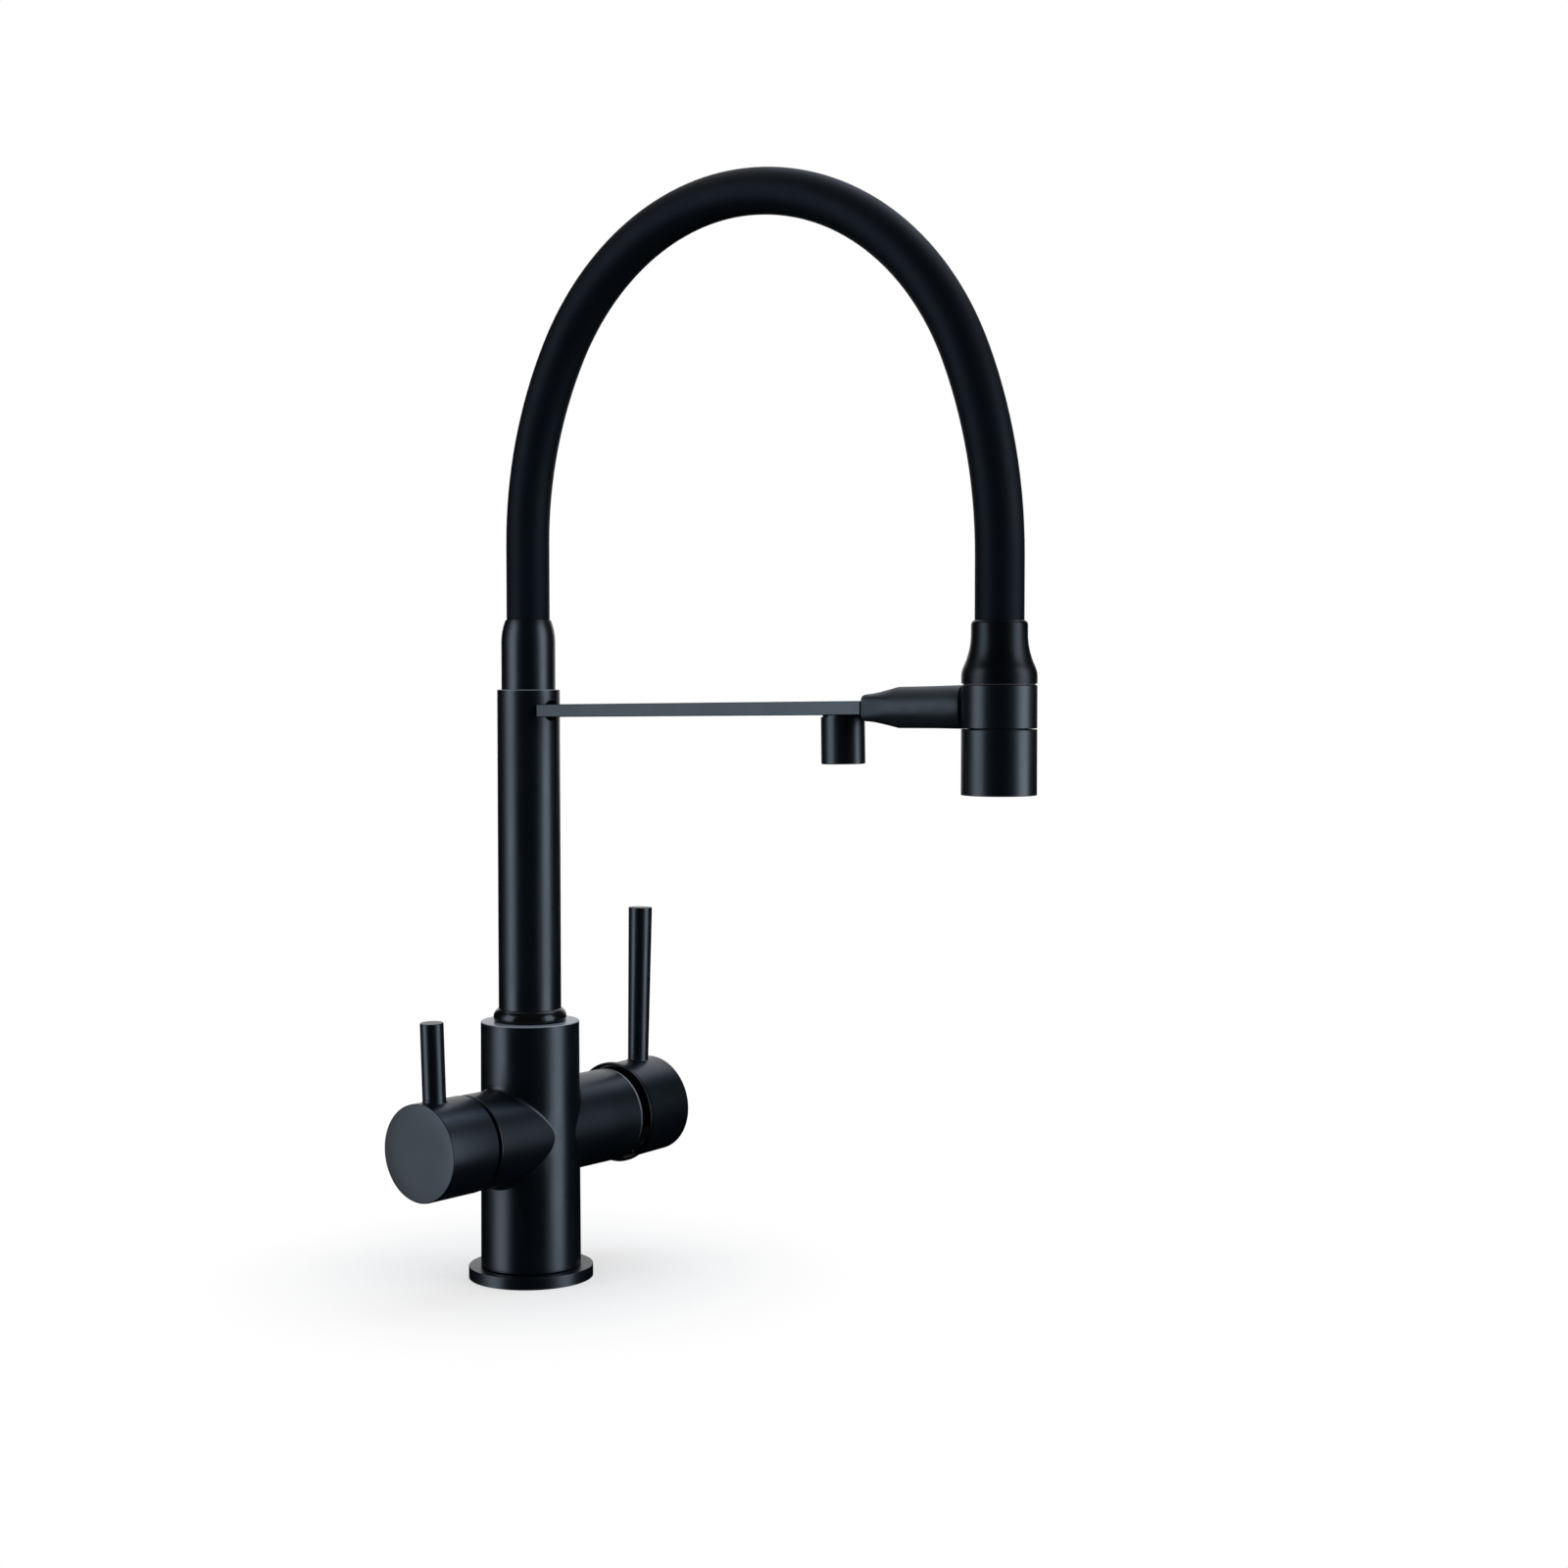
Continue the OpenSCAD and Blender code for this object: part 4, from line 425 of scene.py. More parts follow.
def turned(name, outline, centre, along, steps=160):
    """Extrudes an outline of (radius, height) in millimetres point by point, and spins it round its axis."""
    centre = Vector(centre)
    along = Vector(along).normalized()
    out = along.orthogonal().normalized()
    points = [centre + out * r * MM + along * h * MM for r, h in outline]
    start()
    bpy.ops.mesh.primitive_plane_add(size=MM)
    obj = named(name)
    edit(obj)
    bpy.ops.mesh.select_all(action="SELECT")
    bpy.ops.mesh.merge(type="CENTER")
    bpy.ops.transform.translate(value=points[0])
    for here, there in zip(points, points[1:]):
        bpy.ops.mesh.extrude_region_move(TRANSFORM_OT_translate={"value": there - here})
    bpy.ops.mesh.select_all(action="SELECT")
    bpy.ops.mesh.spin(steps=steps, angle=2 * pi, center=centre, axis=along)
    close_mesh(obj)
    return obj


def drill(obj, middle, along, depth):
    """Bores a grub screw's hole, with its middle and depth in millimetres, and leaves the piece selected."""
    start()
    bpy.ops.mesh.primitive_cylinder_add(
        vertices=48, radius=GRUB_HOLE_R * MM, depth=depth * MM, location=middle * MM,
        rotation=along.to_track_quat("Z", "Y").to_euler())
    tool = named("drill")
    cut = obj.modifiers.new("grub_hole", "BOOLEAN")
    cut.operation = "DIFFERENCE"
    cut.object = tool
    only(obj)
    bpy.ops.object.modifier_apply(modifier="grub_hole")
    bpy.data.objects.remove(tool)


def rounded(corners, steps=6):
    """An outline through (radius, height, rounding) corners, with a curve at each rounded one."""
    outline = []
    for i, (r, h, size) in enumerate(corners):
        corner = Vector((r, h))
        if not size:
            outline.append((r, h))
            continue
        first = corner + (Vector(corners[i - 1][:2]) - corner).normalized() * size
        last = corner + (Vector(corners[i + 1][:2]) - corner).normalized() * size
        for k in range(steps + 1):
            f = k / steps
            outline.append(tuple(first * (1 - f) ** 2 + corner * 2 * f * (1 - f) + last * f ** 2))
    return outline


def band(context, name, rows):
    """Closes rows of points in millimetres, each the band's cross-section, into one ring."""
    size = len(rows[0])
    faces = []
    for i in range(len(rows)):
        here, there = i * size, (i + 1) % len(rows) * size
        for k in range(size):
            k2 = (k + 1) % size
            faces.append((here + k, here + k2, there + k2, there + k))
    mesh = bpy.data.meshes.new(name)
    mesh.from_pydata([p * MM for row in rows for p in row], [], faces)
    ring = bpy.data.objects.new(name, mesh)
    context.collection.objects.link(ring)
    start()
    edit(ring)
    close_mesh(ring)
    bpy.ops.object.shade_smooth_by_angle(angle=radians(35))
    return ring


def dress(obj, slot, body, look=None):
    """Gives a new piece its material slot, the finish to show where that differs, and its body."""
    obj.data.materials.clear()
    obj.data.materials.append(finish(look or slot))
    if body:
        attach(obj, body)
    return obj


def arm_frame():
    """Local +Y runs out along the arm, from the riser's axis."""
    lift = Matrix.Translation((0, 0, ARM_Z * MM))
    return lift @ Matrix.Rotation(pi, 4, "Z") @ Matrix.Rotation(ARM_RISE, 4, "X")


def place(obj, matrix):
    """Moves an object and bakes its place into its mesh."""
    only(obj)
    obj.matrix_world = matrix
    bpy.ops.object.transform_apply(location=True, rotation=True, scale=True)


class TAP_OT_finishes(bpy.types.Operator):
    """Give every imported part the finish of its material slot"""
    bl_idname = "tap.finishes"
    bl_label = "Finishes"

    def execute(self, context):
        for slot, material in make_materials().items():
            FINISH_NAMES[slot] = material.name
        # A pale copy of the coat for edges: painted highlight
        FINISH_NAMES["painted_edge_highlight"] = painted_edge_highlight().name
        # A darker, duller copy of the coat for the bell and the cap's lip: painted shade
        FINISH_NAMES["shaded_moulding"] = coated_moulding(
            "smooth_coat_painted_shade", "#010305", "#03060A", 0.34, 0.22).name
        # A lighter, matt copy of the coat for the dock: its lighter base is painted light
        FINISH_NAMES["lit_matt_moulding"] = coated_moulding(
            "matt_coat_painted_light", "#0A1015", "#11171D", 0.47, 0.43).name
        nodes = frame["nodes"]
        for part in frame["record"]["subparts"]:
            show(nodes[part["node"]], part["material_slot"])
        # The brass nut's dome shows in the cap's gap; it gets the black coat, which paints the gap's shade
        # dark
        show(nodes["cartridge_nut"], "body_paint")
        # The bell gets the darker, duller copy of the coat, beside the turned collar under it: painted shade
        show(nodes["spray_bell"], "shaded_moulding")
        return {"FINISHED"}


class TAP_OT_hose(bpy.types.Operator):
    """Sweep the arched rubber hose from the riser's ferrule to the spray bell"""
    bl_idname = "tap.hose"
    bl_label = "Arched hose"

    def execute(self, context):
        settings = context.scene.tap_hose
        riser_crown = (ARCH_S - RISER_BEND_R * (1 - cos(RISER_BEND_ANGLE))) / cos(RISER_BEND_ANGLE)
        half = REACH - ARCH_S
        spray_crown = (half - SPRAY_BEND_R * (1 - cos(SPRAY_BEND_ANGLE))) / cos(SPRAY_BEND_ANGLE)
        riser_sin, spray_sin = sin(RISER_BEND_ANGLE), sin(SPRAY_BEND_ANGLE)
        riser_spring = ARCH_Z - riser_crown * (1 - riser_sin) - RISER_BEND_R * riser_sin
        spray_spring = ARCH_Z - spray_crown * (1 - spray_sin) - SPRAY_BEND_R * spray_sin
        # The side distance and the height of each bend's centre, its angle and its steps
        arcs = [
            (RISER_BEND_R, riser_spring, RISER_BEND_ANGLE, 16),
            (ARCH_S, ARCH_Z - riser_crown, pi / 2 - RISER_BEND_ANGLE, 30),
            (ARCH_S, ARCH_Z - spray_crown, pi / 2 - SPRAY_BEND_ANGLE, 34),
            (REACH - SPRAY_BEND_R, spray_spring, SPRAY_BEND_ANGLE, 14),
        ]
        start()
        bpy.ops.mesh.primitive_circle_add(
            vertices=settings.sides, radius=settings.diameter / 2, location=(0, 0, HOSE_FOOT_Z * MM))
        hose = named("rubber_hose_arch")
        edit(hose)
        bpy.ops.mesh.select_all(action="SELECT")
        # Short lengths take the straight part up to the first bend
        straight = riser_spring - HOSE_FOOT_Z
        for _ in range(6):
            bpy.ops.mesh.extrude_region_move(TRANSFORM_OT_translate={"value": (0, 0, straight * MM / 6)})
        end = Vector((0, 0, riser_spring * MM))
        heading = Vector((0, 0, 1))

        def pick_end():
            pick(hose, lambda co: abs((co - end).dot(heading)) < 1e-5 and (co - end).length < 0.02)

        for s, z, angle, steps in arcs:
            middle = Vector((0, -s * MM, z * MM))
            pick_end()
            # The spin operator turns against its axis
            bpy.ops.mesh.spin(steps=steps, angle=angle, center=middle, axis=(-1, 0, 0))
            turn = Matrix.Rotation(angle, 3, "X")
            end = middle + turn @ (end - middle)
            heading = turn @ heading
        pick_end()
        straight = end.z / MM - HOSE_END_Z
        for _ in range(5):
            bpy.ops.mesh.extrude_region_move(TRANSFORM_OT_translate={"value": (0, 0, -straight * MM / 5)})
        # Each end closes with a rim as wide as the hose's wall
        for z in (HOSE_FOOT_Z, HOSE_END_Z):
            pick(hose, lambda co: abs(co.z - z * MM) < 1e-5)
            bpy.ops.mesh.edge_face_add()
            bpy.ops.mesh.inset(thickness=0.0026)
        close_mesh(hose)
        only(hose)
        bpy.ops.object.shade_smooth_by_angle(angle=radians(40))
        dress(hose, "hose_rubber", None)
        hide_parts("rubber_hose", "inner_hose")
        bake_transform(hose)
        return {"FINISHED"}


class TAP_OT_arm(bpy.types.Operator):
    """Model the flat arm with its softly broken edges"""
    bl_idname = "tap.arm"
    bl_label = "Arm"

    def execute(self, context):
        settings = context.scene.tap_arm
        start()
        bpy.ops.mesh.primitive_cube_add(
            size=1, location=(0, (ARM_START_S + ARM_END_S) / 2 * MM, 0),
            scale=(settings.width, (ARM_END_S - ARM_START_S) * MM, settings.thickness))
        arm = named("arm_bar")
        edit(arm)
        bpy.ops.mesh.select_all(action="SELECT")
        bpy.ops.mesh.subdivide(number_cuts=3)
        bpy.ops.object.mode_set(mode="OBJECT")
        place(arm, arm_frame())
        soften(arm, settings.edge)
        dress(arm, "body_paint", "spout")
        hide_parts("arm")
        return {"FINISHED"}


class TAP_OT_dock(bpy.types.Operator):
    """Model the dock that runs from the flat arm into a round end, hollowed to follow the spray collar"""
    bl_idname = "tap.dock"
    bl_label = "Dock"

    def execute(self, context):
        sides, steps = 96, 14
        half_w, half_h, squareness, round_r, seat_r = 9.2, 5.5, 5, 8.22, 7.35
        # The hollow end follows the spray collar, 1.2 mm off it
        hollow_r = COLLAR_R + 1.2
        angles = [2 * pi * i / sides for i in range(sides)]

        def root(angle):
            """Half sizes of the square root with its rounded corners, along one direction."""
            x, z = cos(angle), sin(angle)
            reach = (abs(x / half_w) ** squareness + abs(z / half_h) ** squareness) ** (-1 / squareness)
            return x * reach, z * reach

        def blend_ring(s, share, inset):
            """A ring between the square root and the round end."""
            ring = []
            for a in angles:
                x, z = root(a)
                ring.append((x * (1 - share) + round_r * cos(a) * share - inset * cos(a),
                             z * (1 - share) + round_r * sin(a) * share - inset * sin(a), s))
            return ring

        def hollow_ring(r, back):
            """A round ring that follows the collar, some distance short of the hollow end."""
            return [(r * cos(a), r * sin(a), REACH - sqrt(hollow_r ** 2 - (r * cos(a)) ** 2) - back)
                    for a in angles]

        # The root's broken edge, the change to round, the round part with its lip, and the pad's seat
        plain_s = DOCK_ROOT_S + 0.4
        rings = [blend_ring(DOCK_ROOT_S + s, 0, inset)
                 for s, inset in ((0, 0.9), (0, 0.4), (0.12, 0.12), (0.4, 0))]
        rings += [blend_ring(plain_s + (DOCK_ROUND_S - plain_s) * k / steps, k / steps, 0)
                  for k in range(1, steps + 1)]
        rings += [hollow_ring(r, back) for r, back in (
            (8.33, 14.0), (8.5, 4.0), (8.55, 0.35), (8.47, 0.1),
            (8.3, 0.0), (7.55, 0.0), (7.38, 0.12), (seat_r, 0.3))]
        rings.append([(seat_r * cos(a), seat_r * sin(a), DOCK_SEAT_S) for a in angles])
        # Local X across the arm, local Y out along it and local Z up
        points = [Vector((x, s, z)) * MM for ring in rings for x, z, s in ring]
        faces = []
        for here in range(0, len(points) - sides, sides):
            for i in range(sides):
                i2 = (i + 1) % sides
                faces.append((here + i, here + i2, here + sides + i2, here + sides + i))
        faces += [tuple(range(sides)), tuple(range(len(points) - sides, len(points)))]
        mesh = bpy.data.meshes.new("dock_cone")
        mesh.from_pydata(points, [], faces)
        dock = bpy.data.objects.new("dock_cone", mesh)
        context.collection.objects.link(dock)
        place(dock, arm_frame())
        edit(dock)
        close_mesh(dock)
        bpy.ops.object.shade_smooth_by_angle(angle=radians(32))
        # The dock gets the lighter, matt copy of the coat: painted light
        dress(dock, "body_paint", "spout", "lit_matt_moulding")
        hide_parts("dock")
        return {"FINISHED"}


def joint_rows(post_r, post_taper, bar_r, ball, turns, steps):
    """A ball rolls round the joint of an upright post and a level bar, and leaves the fillet's rows.

    Local X runs along the bar and local Z up the post, from the bar's axis.
    The post narrows by post_taper for each millimetre.
    """
    rows = []
    for i in range(turns):
        a = 2 * pi * i / turns
        y, z = (bar_r + ball) * sin(a), (bar_r + ball) * cos(a)
        here_r = post_r - post_taper * z
        x = sqrt((here_r + ball) ** 2 - y * y)
        centre = Vector((x, y, z))
        on_bar = Vector((x, bar_r * sin(a), bar_r * cos(a)))
        on_post = Vector((x, y, 0)) * (here_r / (here_r + ball)) + Vector((0, 0, z))
        first, last = (on_bar - centre).normalized(), (on_post - centre).normalized()
        row = [centre + first.slerp(last, k / steps) * ball for k in range(steps + 1)]
        # The band closes behind itself, under both skins
        row.append(on_bar * 0.6 + on_post * 0.4 - (centre - (on_bar + on_post) / 2) * 0.5)
        rows.append(row)
    return rows


def foot_rows(post_r, bar_r, ball, turns, steps):
    """The same ball round the foot of a thin post that stands on a level bar, from the bar's axis."""
    rows = []
    for i in range(turns):
        a = 2 * pi * i / turns
        x, y = (post_r + ball) * cos(a), (post_r + ball) * sin(a)
        z = sqrt((bar_r + ball) ** 2 - y * y)
        centre = Vector((x, y, z))
        on_post = Vector((post_r * cos(a), post_r * sin(a), z))
        on_bar = Vector((x, y * bar_r / (bar_r + ball), z * bar_r / (bar_r + ball)))
        first, last = (on_post - centre).normalized(), (on_bar - centre).normalized()
        row = [centre + first.slerp(last, k / steps) * ball for k in range(steps + 1)]
        row.append(on_bar * 0.5 + on_post * 0.5 - (centre - (on_bar + on_post) / 2) * 0.5)
        rows.append(row)
    return rows


class TAP_OT_body_fillets(bpy.types.Operator):
    """Lay the cast fillets where the two barrels meet the column, and where the levers meet their handles"""
    bl_idname = "tap.body_fillets"
    bl_label = "Fillets"

    def execute(self, context):
        # The column narrows a little towards its top, from this radius at the barrels
        column_r, column_taper, ball, small_ball = 22.28, 0.0036, 2.2, 0.8
        barrel = Vector((0, 0, BARREL_Z))
        for name, side in (("fillet_filter_side", -1), ("fillet_mixer_side", 1)):
            rows = [[Vector((p.x * side, p.y, p.z)) + barrel for p in row]
                    for row in joint_rows(column_r, column_taper, BARREL_R, ball, 240, 10)]
            dress(band(context, name, rows), "body_paint", "base")
        # Name, body, the lever's foot radius, its handle's radius, the handle's axis and the lean
        for name, body, post_r, bar_r, axis, lean in (
                ("filter_lever_foot", "filter_handle", 5.1, KNOB_R,
                 Vector((-FILTER_LEVER_S, 0, BARREL_Z)), FILTER_LEVER_LEAN),
                ("mixer_lever_foot", "mixer_handle", 4.8, CAP_R,
                 Vector((MIXER_LEVER_S, 0, CAP_AXIS_Z)), MIXER_LEVER_LEAN)):
            turn = Matrix.Rotation(lean, 3, "Y")
            # The rows lean about the lever's foot, on top of the handle
            top = Vector((0, 0, bar_r))
            rows = [[turn @ p + axis - turn @ top + top for p in row]
                    for row in foot_rows(post_r, bar_r, small_ball, 72, 6)]
            dress(band(context, name, rows), "body_paint", body)
        return {"FINISHED"}


# In millimetres from a point on its axis and along it: a machined edge's radius, the distance of its end,
# the width of the rounding, the land behind it, and the width of the end face that belongs to it
Edge = namedtuple(
    "Edge", "name body point along radius end width land face coat", defaults=(0, 0, "body_paint"))

UP, DOWN = (0, 0, 1), (0, 0, -1)
DECK, BARRELS, SPRAY = (0, 0, 0), (0, 0, BARREL_Z), (0, -REACH, 0)
# Strips with the pale coat carry a painted highlight line; the column top's strip carries it over its end
# face too
EDGES = (
    Edge("edge_column_top", "base", DECK, UP, COLUMN_R, 116.0, 0.4, face=5.5, coat="painted_edge_highlight"),
    Edge("edge_flange", "base", DECK, UP, 28.0, 5.3, 0.4),
    Edge("edge_filter_barrel", "base", BARRELS, (-1, 0, 0), BARREL_R, FILTER_BARREL_S, 0.7, land=0.1),
    Edge("edge_mixer_barrel", "base", BARRELS, (1, 0, 0), BARREL_R, MIXER_BARREL_S, 0.8,
         land=0.6, coat="painted_edge_highlight"),
    Edge("edge_knob_face", "filter_handle", BARRELS, (-1, 0, 0), KNOB_R, KNOB_FACE_S, 0.45),
    Edge("edge_filter_lever", "filter_handle", (-FILTER_LEVER_S, 0, BARREL_Z + KNOB_R),
         (sin(FILTER_LEVER_LEAN), 0, cos(FILTER_LEVER_LEAN)), 5.1, 34.3, 0.3),
    Edge("edge_mixer_lever", "mixer_handle", (MIXER_LEVER_S, 0, CAP_AXIS_Z + CAP_R),
         (sin(MIXER_LEVER_LEAN), 0, cos(MIXER_LEVER_LEAN)), 5.55, 72.214, 0.3),
    Edge("edge_riser_top", "spout", DECK, UP, 14.0, 265.0, 0.3, coat="painted_edge_highlight"),
    Edge("edge_nozzle_top", "nozzle", SPRAY, UP, COLLAR_R, 250.8, 0.2),
    Edge("edge_nozzle_foot", "nozzle", SPRAY, DOWN, COLLAR_R, -225.4, 0.3),
)


class TAP_OT_edges(bpy.types.Operator):
    """Round the machined edges; the strips with the pale coat carry a painted highlight"""
    bl_idname = "tap.edges"
    bl_label = "Machined edges"

    def execute(self, context):
        # Each strip stands this little proud of its solid, and reaches under the skin behind itself
        steps, turns, proud = 5, 160, 0.012
        for edge in EDGES:
            point, along = Vector(edge.point), Vector(edge.along).normalized()
            out = along.orthogonal().normalized()
            r, end, width = edge.radius, edge.end, edge.width
            section = [(r - width + (width + proud) * cos(pi / 2 * k / steps),
                        end - width + (width + proud) * sin(pi / 2 * k / steps)) for k in range(steps + 1)]
            if edge.land:
                section.insert(0, (r + 0.6 * proud, end - width - edge.land))
            if edge.face:
                section.append((r - width - edge.face, end + proud))
            section.append((r - edge.face - 1.4 * width, end - 1.4 * width))
            rows = []
            for i in range(turns):
                way = Matrix.Rotation(2 * pi * i / turns, 3, along) @ out
                rows.append([point + way * across + along * up for across, up in section])
            dress(band(context, edge.name, rows), "body_paint", edge.body, edge.coat)
        return {"FINISHED"}


class TAP_OT_filter_knob(bpy.types.Operator):
    """Turn the filter handle's knob, hollow behind, where its rim leaves the dark joint line at the barrel"""
    bl_idname = "tap.filter_knob"
    bl_label = "Filter knob"

    def execute(self, context):
        # Heights run from the knob's back to its face
        length, hollow_h, hollow_r, crown_r = KNOB_FACE_S - KNOB_BACK_S, 9, 17.5, 14
        spindle_h, spindle_r, screw_h, hole_middle, hole_depth = 19, 4.07, 14, 13, 18
        # The hollow behind clears the valve's hexagon; the face is very slightly crowned
        outline = rounded([
            (0, spindle_h, 0), (spindle_r, spindle_h, 0), (spindle_r, hollow_h, 0.2),
            (hollow_r, hollow_h, 0.4), (hollow_r, 0, 0.2), (KNOB_R, 0, 0.15),
            (KNOB_R, length - 0.03, 0.45), (crown_r, length, 0), (0, length, 0)])
        back = Vector((-KNOB_BACK_S, 0, BARREL_Z))
        knob = turned("filter_knob_turned", outline, back * MM, (-1, 0, 0))
        # The grub screw's hole runs up from below to the spindle
        drill(knob, back + Vector((-screw_h, 0, -hole_middle)), Vector(DOWN), hole_depth)
        bpy.ops.object.shade_smooth_by_angle(angle=radians(35))
        dress(knob, "body_paint", "filter_handle")
        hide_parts("filter_knob")
        return {"FINISHED"}


class TAP_OT_mixer_cap(bpy.types.Operator):
    """Turn the mixer handle's cap with its rounded lip, and drill it for the grub screw"""
    bl_idname = "tap.mixer_cap"
    bl_label = "Mixer cap"

    def execute(self, context):
        pivot = Vector((PIVOT_S, 0, BARREL_Z))
        along = Vector((cos(CAP_TILT), 0, sin(CAP_TILT)))
        # Heights run from the mouth, which lies this far out from the pivot, to the closed face
        mouth, length, floor_h, hub_foot, lip_h = 10.3, 28.6, 25.6, 9.6, 2.8
        hub_r, inner_r, mouth_r, lip_r = 11, 21.2, 22.2, 23.4
        screw_s, hole_middle, hole_depth = 25.2, 19, 14
        outline = rounded([
            (0, hub_foot, 0), (hub_r, hub_foot, 0.4), (hub_r, floor_h, 0.4), (inner_r, floor_h, 0.4),
            (inner_r, 2.5, 0), (mouth_r, 2.5, 0), (mouth_r, 0.75, 0), (22.75, 0, 0.2), (lip_r, 0, 0.6),
            (lip_r, lip_h - 0.1, 0.5), (CAP_R, lip_h + 0.1, 0.15), (CAP_R, length, 0.7), (0, length, 0)])
        cap = turned("mixer_cap_turned", outline, (pivot + along * mouth) * MM, along)
        # The grub screw's hole runs up from below to the stem, this far out from the pivot
        down = Vector((sin(CAP_TILT), 0, -cos(CAP_TILT)))
        drill(cap, pivot + along * screw_s + down * hole_middle, down, hole_depth)
        bpy.ops.object.shade_smooth_by_angle(angle=radians(35))
        dress(cap, "body_paint", "mixer_handle")
        # The lip gets the darker, duller copy of the coat, so that it shows as dark as the gap beside it:
        # painted shade
        cap.data.materials.append(finish("shaded_moulding"))
        for face in cap.data.polygons:
            if (face.center - pivot * MM).dot(along) < (mouth + lip_h) * MM:
                face.material_index = 1
        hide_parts("mixer_cap")
        return {"FINISHED"}


# The camera's heading and its place, fitted to the photo's outlines
CAMERA_TURN, CAMERA_TILT = radians(52.186), radians(87.372)
CAMERA_PLACE = (-0.79769, -0.76399, 0.27307)
VIEW = Vector((sin(CAMERA_TURN), cos(CAMERA_TURN), 0))
RIGHT = Vector((cos(CAMERA_TURN), -sin(CAMERA_TURN), 0))
STAGE_MIDDLE = Vector((0, -0.1, 0.24))

# Name, degrees to the camera's right and degrees up, then in metres the distance, width and height,
# and last the radiance and the tint
SOFT_BOXES = (
    ("soft_box_left", -67, 5, 1.6, 0.9, 1.7, 3.15, "#FFFFFF"),
    ("soft_box_right", 73, 5, 1.6, 0.9, 1.7, 4.3, "#FFFFFF"),
    ("soft_box_top", 150, 60, 1.9, 1.5, 0.9, 2.1, "#C8DCFF"),
)

# Dark cards that only glossy rays meet keep the middle and the rims of the round parts dark; same columns
CARDS = (
    ("card_front", -5, 0, 1.9, 4.6, 4.2),
    ("card_overhead", -5, 62, 1.9, 4.2, 1.9),
    ("card_left", -124, 0, 1.9, 2.1, 3.2),
    ("card_right", 116, 0, 1.9, 2.4, 3.2),
    ("card_back_low", 180, -27, 1.9, 2.6, 1.7),
    ("card_under", 0, -90, 1.5, 5.0, 5.0),
)


def way_out(side_angle, lift_angle):
    """The direction from the stage's middle to a lamp or a card."""
    side, lift = radians(side_angle), radians(lift_angle)
    level = -VIEW * cos(side) + RIGHT * sin(side)
    return (level * cos(lift) + Vector((0, 0, sin(lift)))).normalized()


def add_camera(context):
    data = bpy.data.cameras.new("camera")
    data.lens = 56.25
    data.sensor_width = 36
    data.clip_end = 50
    camera = bpy.data.objects.new("camera", data)
    camera.location = CAMERA_PLACE
    camera.rotation_euler = (CAMERA_TILT, 0, -CAMERA_TURN)
    context.collection.objects.link(camera)
    context.scene.camera = camera


def add_soft_box(context, name, side_angle, lift_angle, distance, width, height, radiance, tint):
    """A rectangular lamp that faces the tap."""
    way = way_out(side_angle, lift_angle)
    data = bpy.data.lights.new(name, "AREA")
    data.shape = "RECTANGLE"
    data.size = width
    data.size_y = height
    data.energy = radiance * pi * width * height
    data.color = linear(tint)[:3]
    lamp = bpy.data.objects.new(name, data)
    lamp.location = STAGE_MIDDLE + way * distance
    lamp.rotation_euler = (-way).to_track_quat("-Z", "Y").to_euler()
    context.collection.objects.link(lamp)


def add_card(context, material, name, side_angle, lift_angle, distance, width, height):
    """A card that is seen in the tap's gloss, and nowhere else."""
    way = way_out(side_angle, lift_angle)
    start()
    bpy.ops.mesh.primitive_plane_add(size=1, location=STAGE_MIDDLE + way * distance)
    card = context.object
    card.name = name
    card.rotation_euler = way.to_track_quat("Z", "Y").to_euler()
    card.scale = (width, height, 1)
    card.data.materials.append(material)
    card.visible_camera = False
    card.visible_diffuse = False
    card.visible_shadow = False
    card.visible_transmission = False


def seen_rays(tree):
    """1 for rays that show a surface to the camera, also in gloss or through glass, and 0 for the rest."""
    path = add(tree, "ShaderNodeLightPath")
    seen = add(tree, "ShaderNodeMath", {
        0: path.outputs["Is Camera Ray"], 1: path.outputs["Is Glossy Ray"]}, operation="MAXIMUM")
    seen = add(tree, "ShaderNodeMath", {
        0: seen.outputs[0], 1: path.outputs["Is Transmission Ray"]}, operation="MAXIMUM")
    return seen.outputs[0]


def add_floor(context):
    """A pale floor that keeps the tap's soft shadow, and turns white away from it."""
    start()
    bpy.ops.mesh.primitive_circle_add(vertices=96, radius=9, fill_type="NGON", location=(0, 0, 0))
    floor = context.object
    floor.name = "floor"
    # The tap stands as if on clear glass: its glossy sides meet the cards, and not the floor
    floor.visible_glossy = False
    material, tree = new_material("pale_floor")
    place_ = add(tree, "ShaderNodeTexCoord").outputs["Object"]
    distance = add(tree, "ShaderNodeVectorMath", {0: place_}, operation="LENGTH")
    fade = add(tree, "ShaderNodeMapRange", {
        "Value": distance.outputs["Value"], "From Min": 0.02, "From Max": 0.16, "To Min": 0.55},
        interpolation_type="SMOOTHSTEP")
    share = add(tree, "ShaderNodeMath", {
        0: seen_rays(tree), 1: fade.outputs["Result"]}, operation="MULTIPLY")
    sheet = add(tree, "ShaderNodeBsdfDiffuse", {"Color": linear("#EDEDED")})
    white = add(tree, "ShaderNodeEmission", {"Color": (1, 1, 1, 1), "Strength": 1.0})
    both = add(tree, "ShaderNodeMixShader", {
        0: share.outputs[0], 1: sheet.outputs[0], 2: white.outputs[0]})
    # From below, the floor is clear and shows the tap's underside
    side = add(tree, "ShaderNodeNewGeometry")
    clear = add(tree, "ShaderNodeBsdfTransparent")
    close_material(tree, add(tree, "ShaderNodeMixShader", {
        0: side.outputs["Backfacing"], 1: both.outputs[0], 2: clear.outputs[0]}))
    floor.data.materials.append(material)


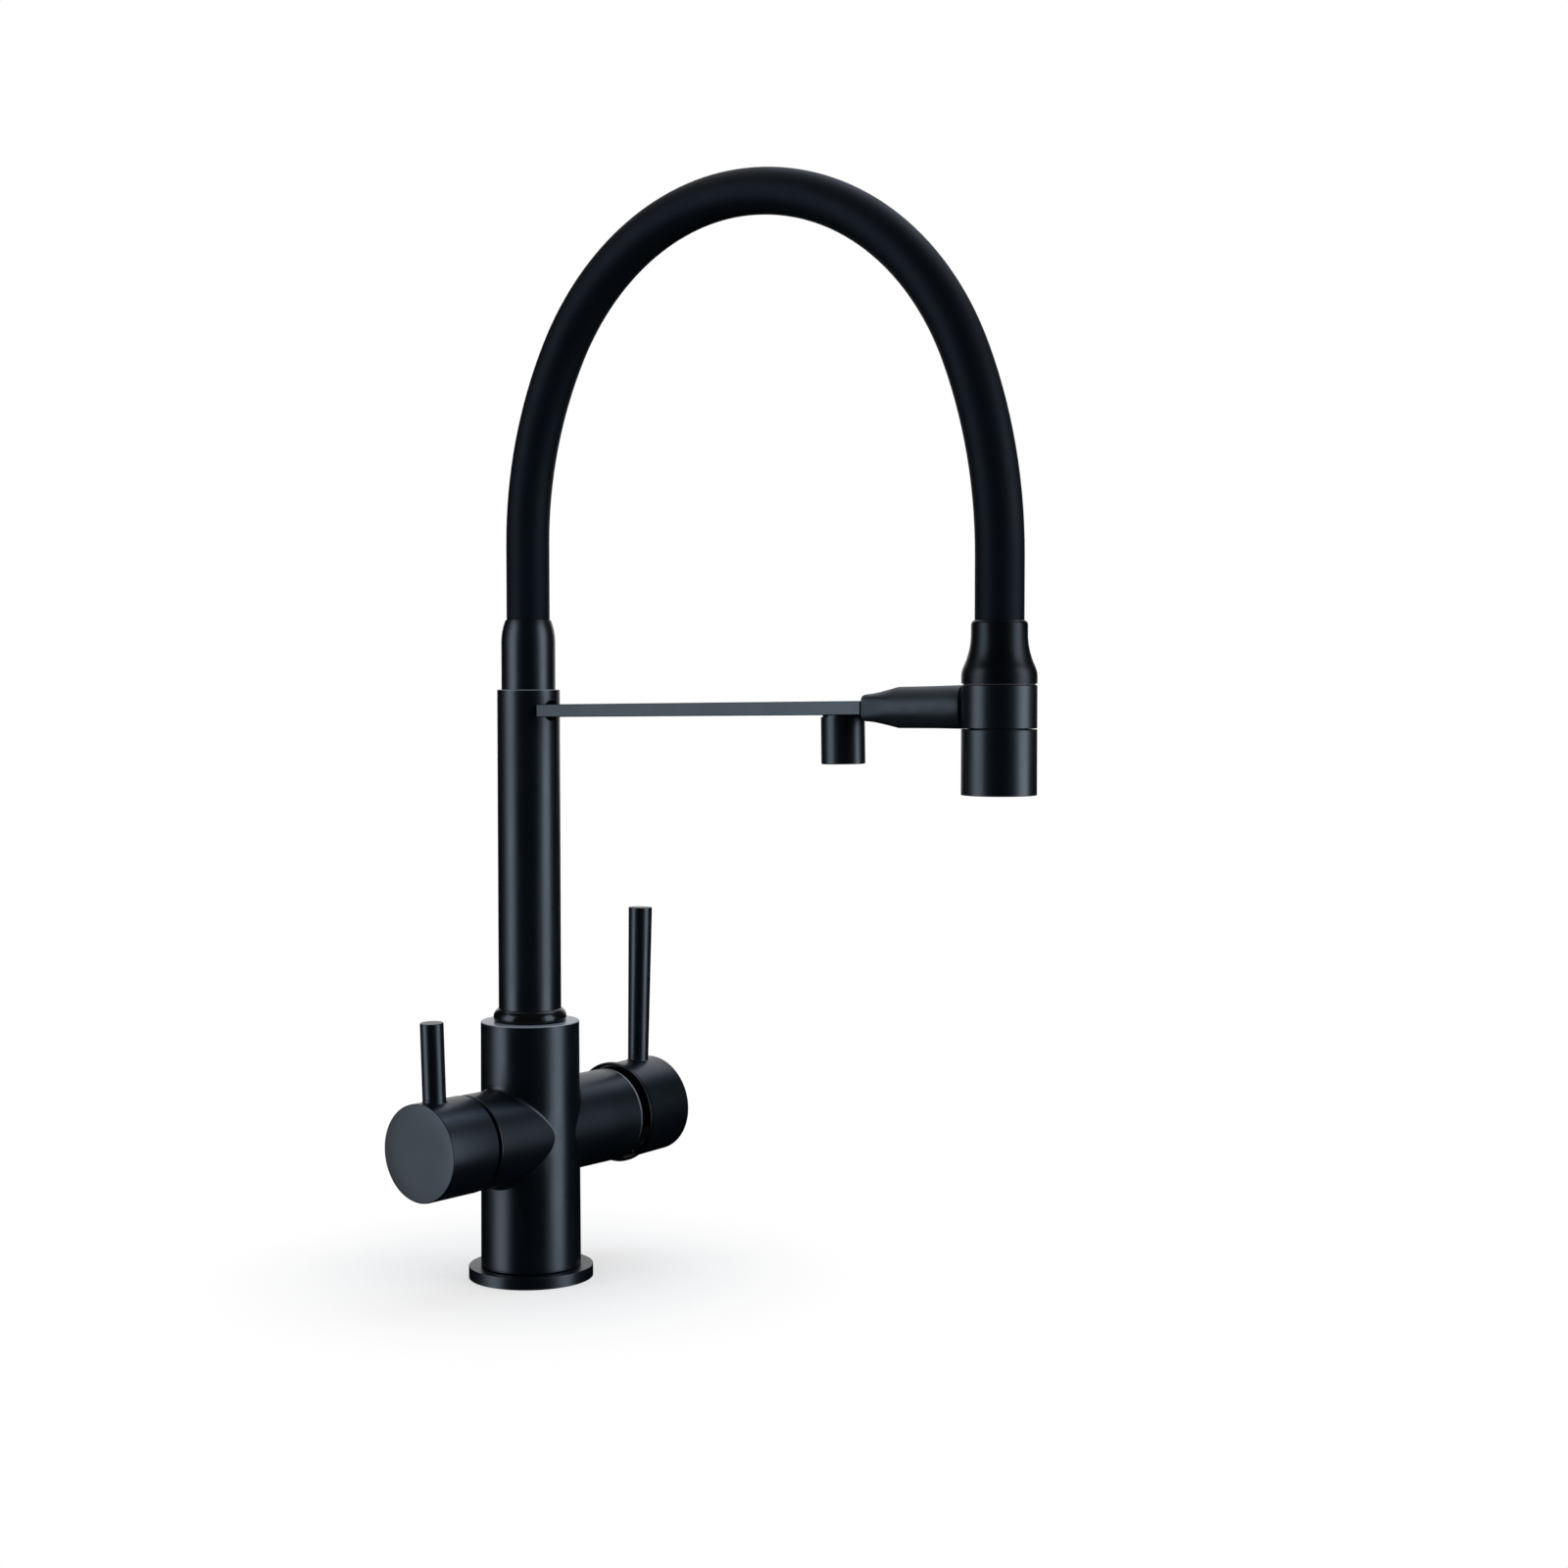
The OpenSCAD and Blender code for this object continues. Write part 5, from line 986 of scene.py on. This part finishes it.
def add_world(context):
    """White where it is seen, and dimmer as light."""
    world = bpy.data.worlds.new("studio")
    world.use_nodes = True
    tree = world.node_tree
    tree.nodes.clear()
    strength = add(tree, "ShaderNodeMapRange", {"Value": seen_rays(tree), "To Min": 0.55, "To Max": 1.0})
    back = add(tree, "ShaderNodeBackground", {
        "Color": (1, 1, 1, 1), "Strength": strength.outputs["Result"]})
    add(tree, "ShaderNodeOutputWorld", {"Surface": back.outputs[0]})
    context.scene.world = world


class TAP_OT_stage(bpy.types.Operator):
    """Set the pale floor, the soft boxes, the dark cards and the camera"""
    bl_idname = "tap.stage"
    bl_label = "Studio"

    def execute(self, context):
        add_camera(context)
        for row in SOFT_BOXES:
            add_soft_box(context, *row)
        material, tree = new_material("black_studio_card")
        close_material(tree, add(tree, "ShaderNodeBsdfDiffuse", {"Color": linear("#050505")}))
        for row in CARDS:
            add_card(context, material, *row)
        add_floor(context)
        add_world(context)
        context.scene.view_settings.view_transform = "Standard"
        return {"FINISHED"}


class TAP_PT_panel(bpy.types.Panel):
    """Lists the tap's operators"""
    bl_idname = "TAP_PT_panel"
    bl_label = "Kitchen Mixer Tap"
    bl_space_type = "VIEW_3D"
    bl_region_type = "UI"
    bl_category = "Tap"

    def draw(self, context):
        for operator in OPERATORS:
            self.layout.operator(operator.bl_idname)
        for group in (context.scene.tap_finish, context.scene.tap_hose, context.scene.tap_arm):
            for key in group.bl_rna.properties.keys():
                if key not in ("rna_type", "name"):
                    self.layout.prop(group, key)


OPERATORS = (
    TAP_OT_finishes, TAP_OT_body_fillets, TAP_OT_edges, TAP_OT_filter_knob, TAP_OT_mixer_cap,
    TAP_OT_hose, TAP_OT_arm, TAP_OT_dock, TAP_OT_stage)
SETTINGS = (FinishSettings, HoseSettings, ArmSettings)


def register():
    for cls in (*SETTINGS, *OPERATORS, TAP_PT_panel):
        bpy.utils.register_class(cls)
    bpy.types.Scene.tap_finish = bpy.props.PointerProperty(type=FinishSettings)
    bpy.types.Scene.tap_hose = bpy.props.PointerProperty(type=HoseSettings)
    bpy.types.Scene.tap_arm = bpy.props.PointerProperty(type=ArmSettings)


def unregister():
    del bpy.types.Scene.tap_finish, bpy.types.Scene.tap_hose, bpy.types.Scene.tap_arm
    for cls in reversed((*SETTINGS, *OPERATORS, TAP_PT_panel)):
        bpy.utils.unregister_class(cls)


def main():
    register()
    for operator in OPERATORS:
        group, name = operator.bl_idname.split(".")
        getattr(getattr(bpy.ops, group), name)()


if __name__ == "__main__":
    main()
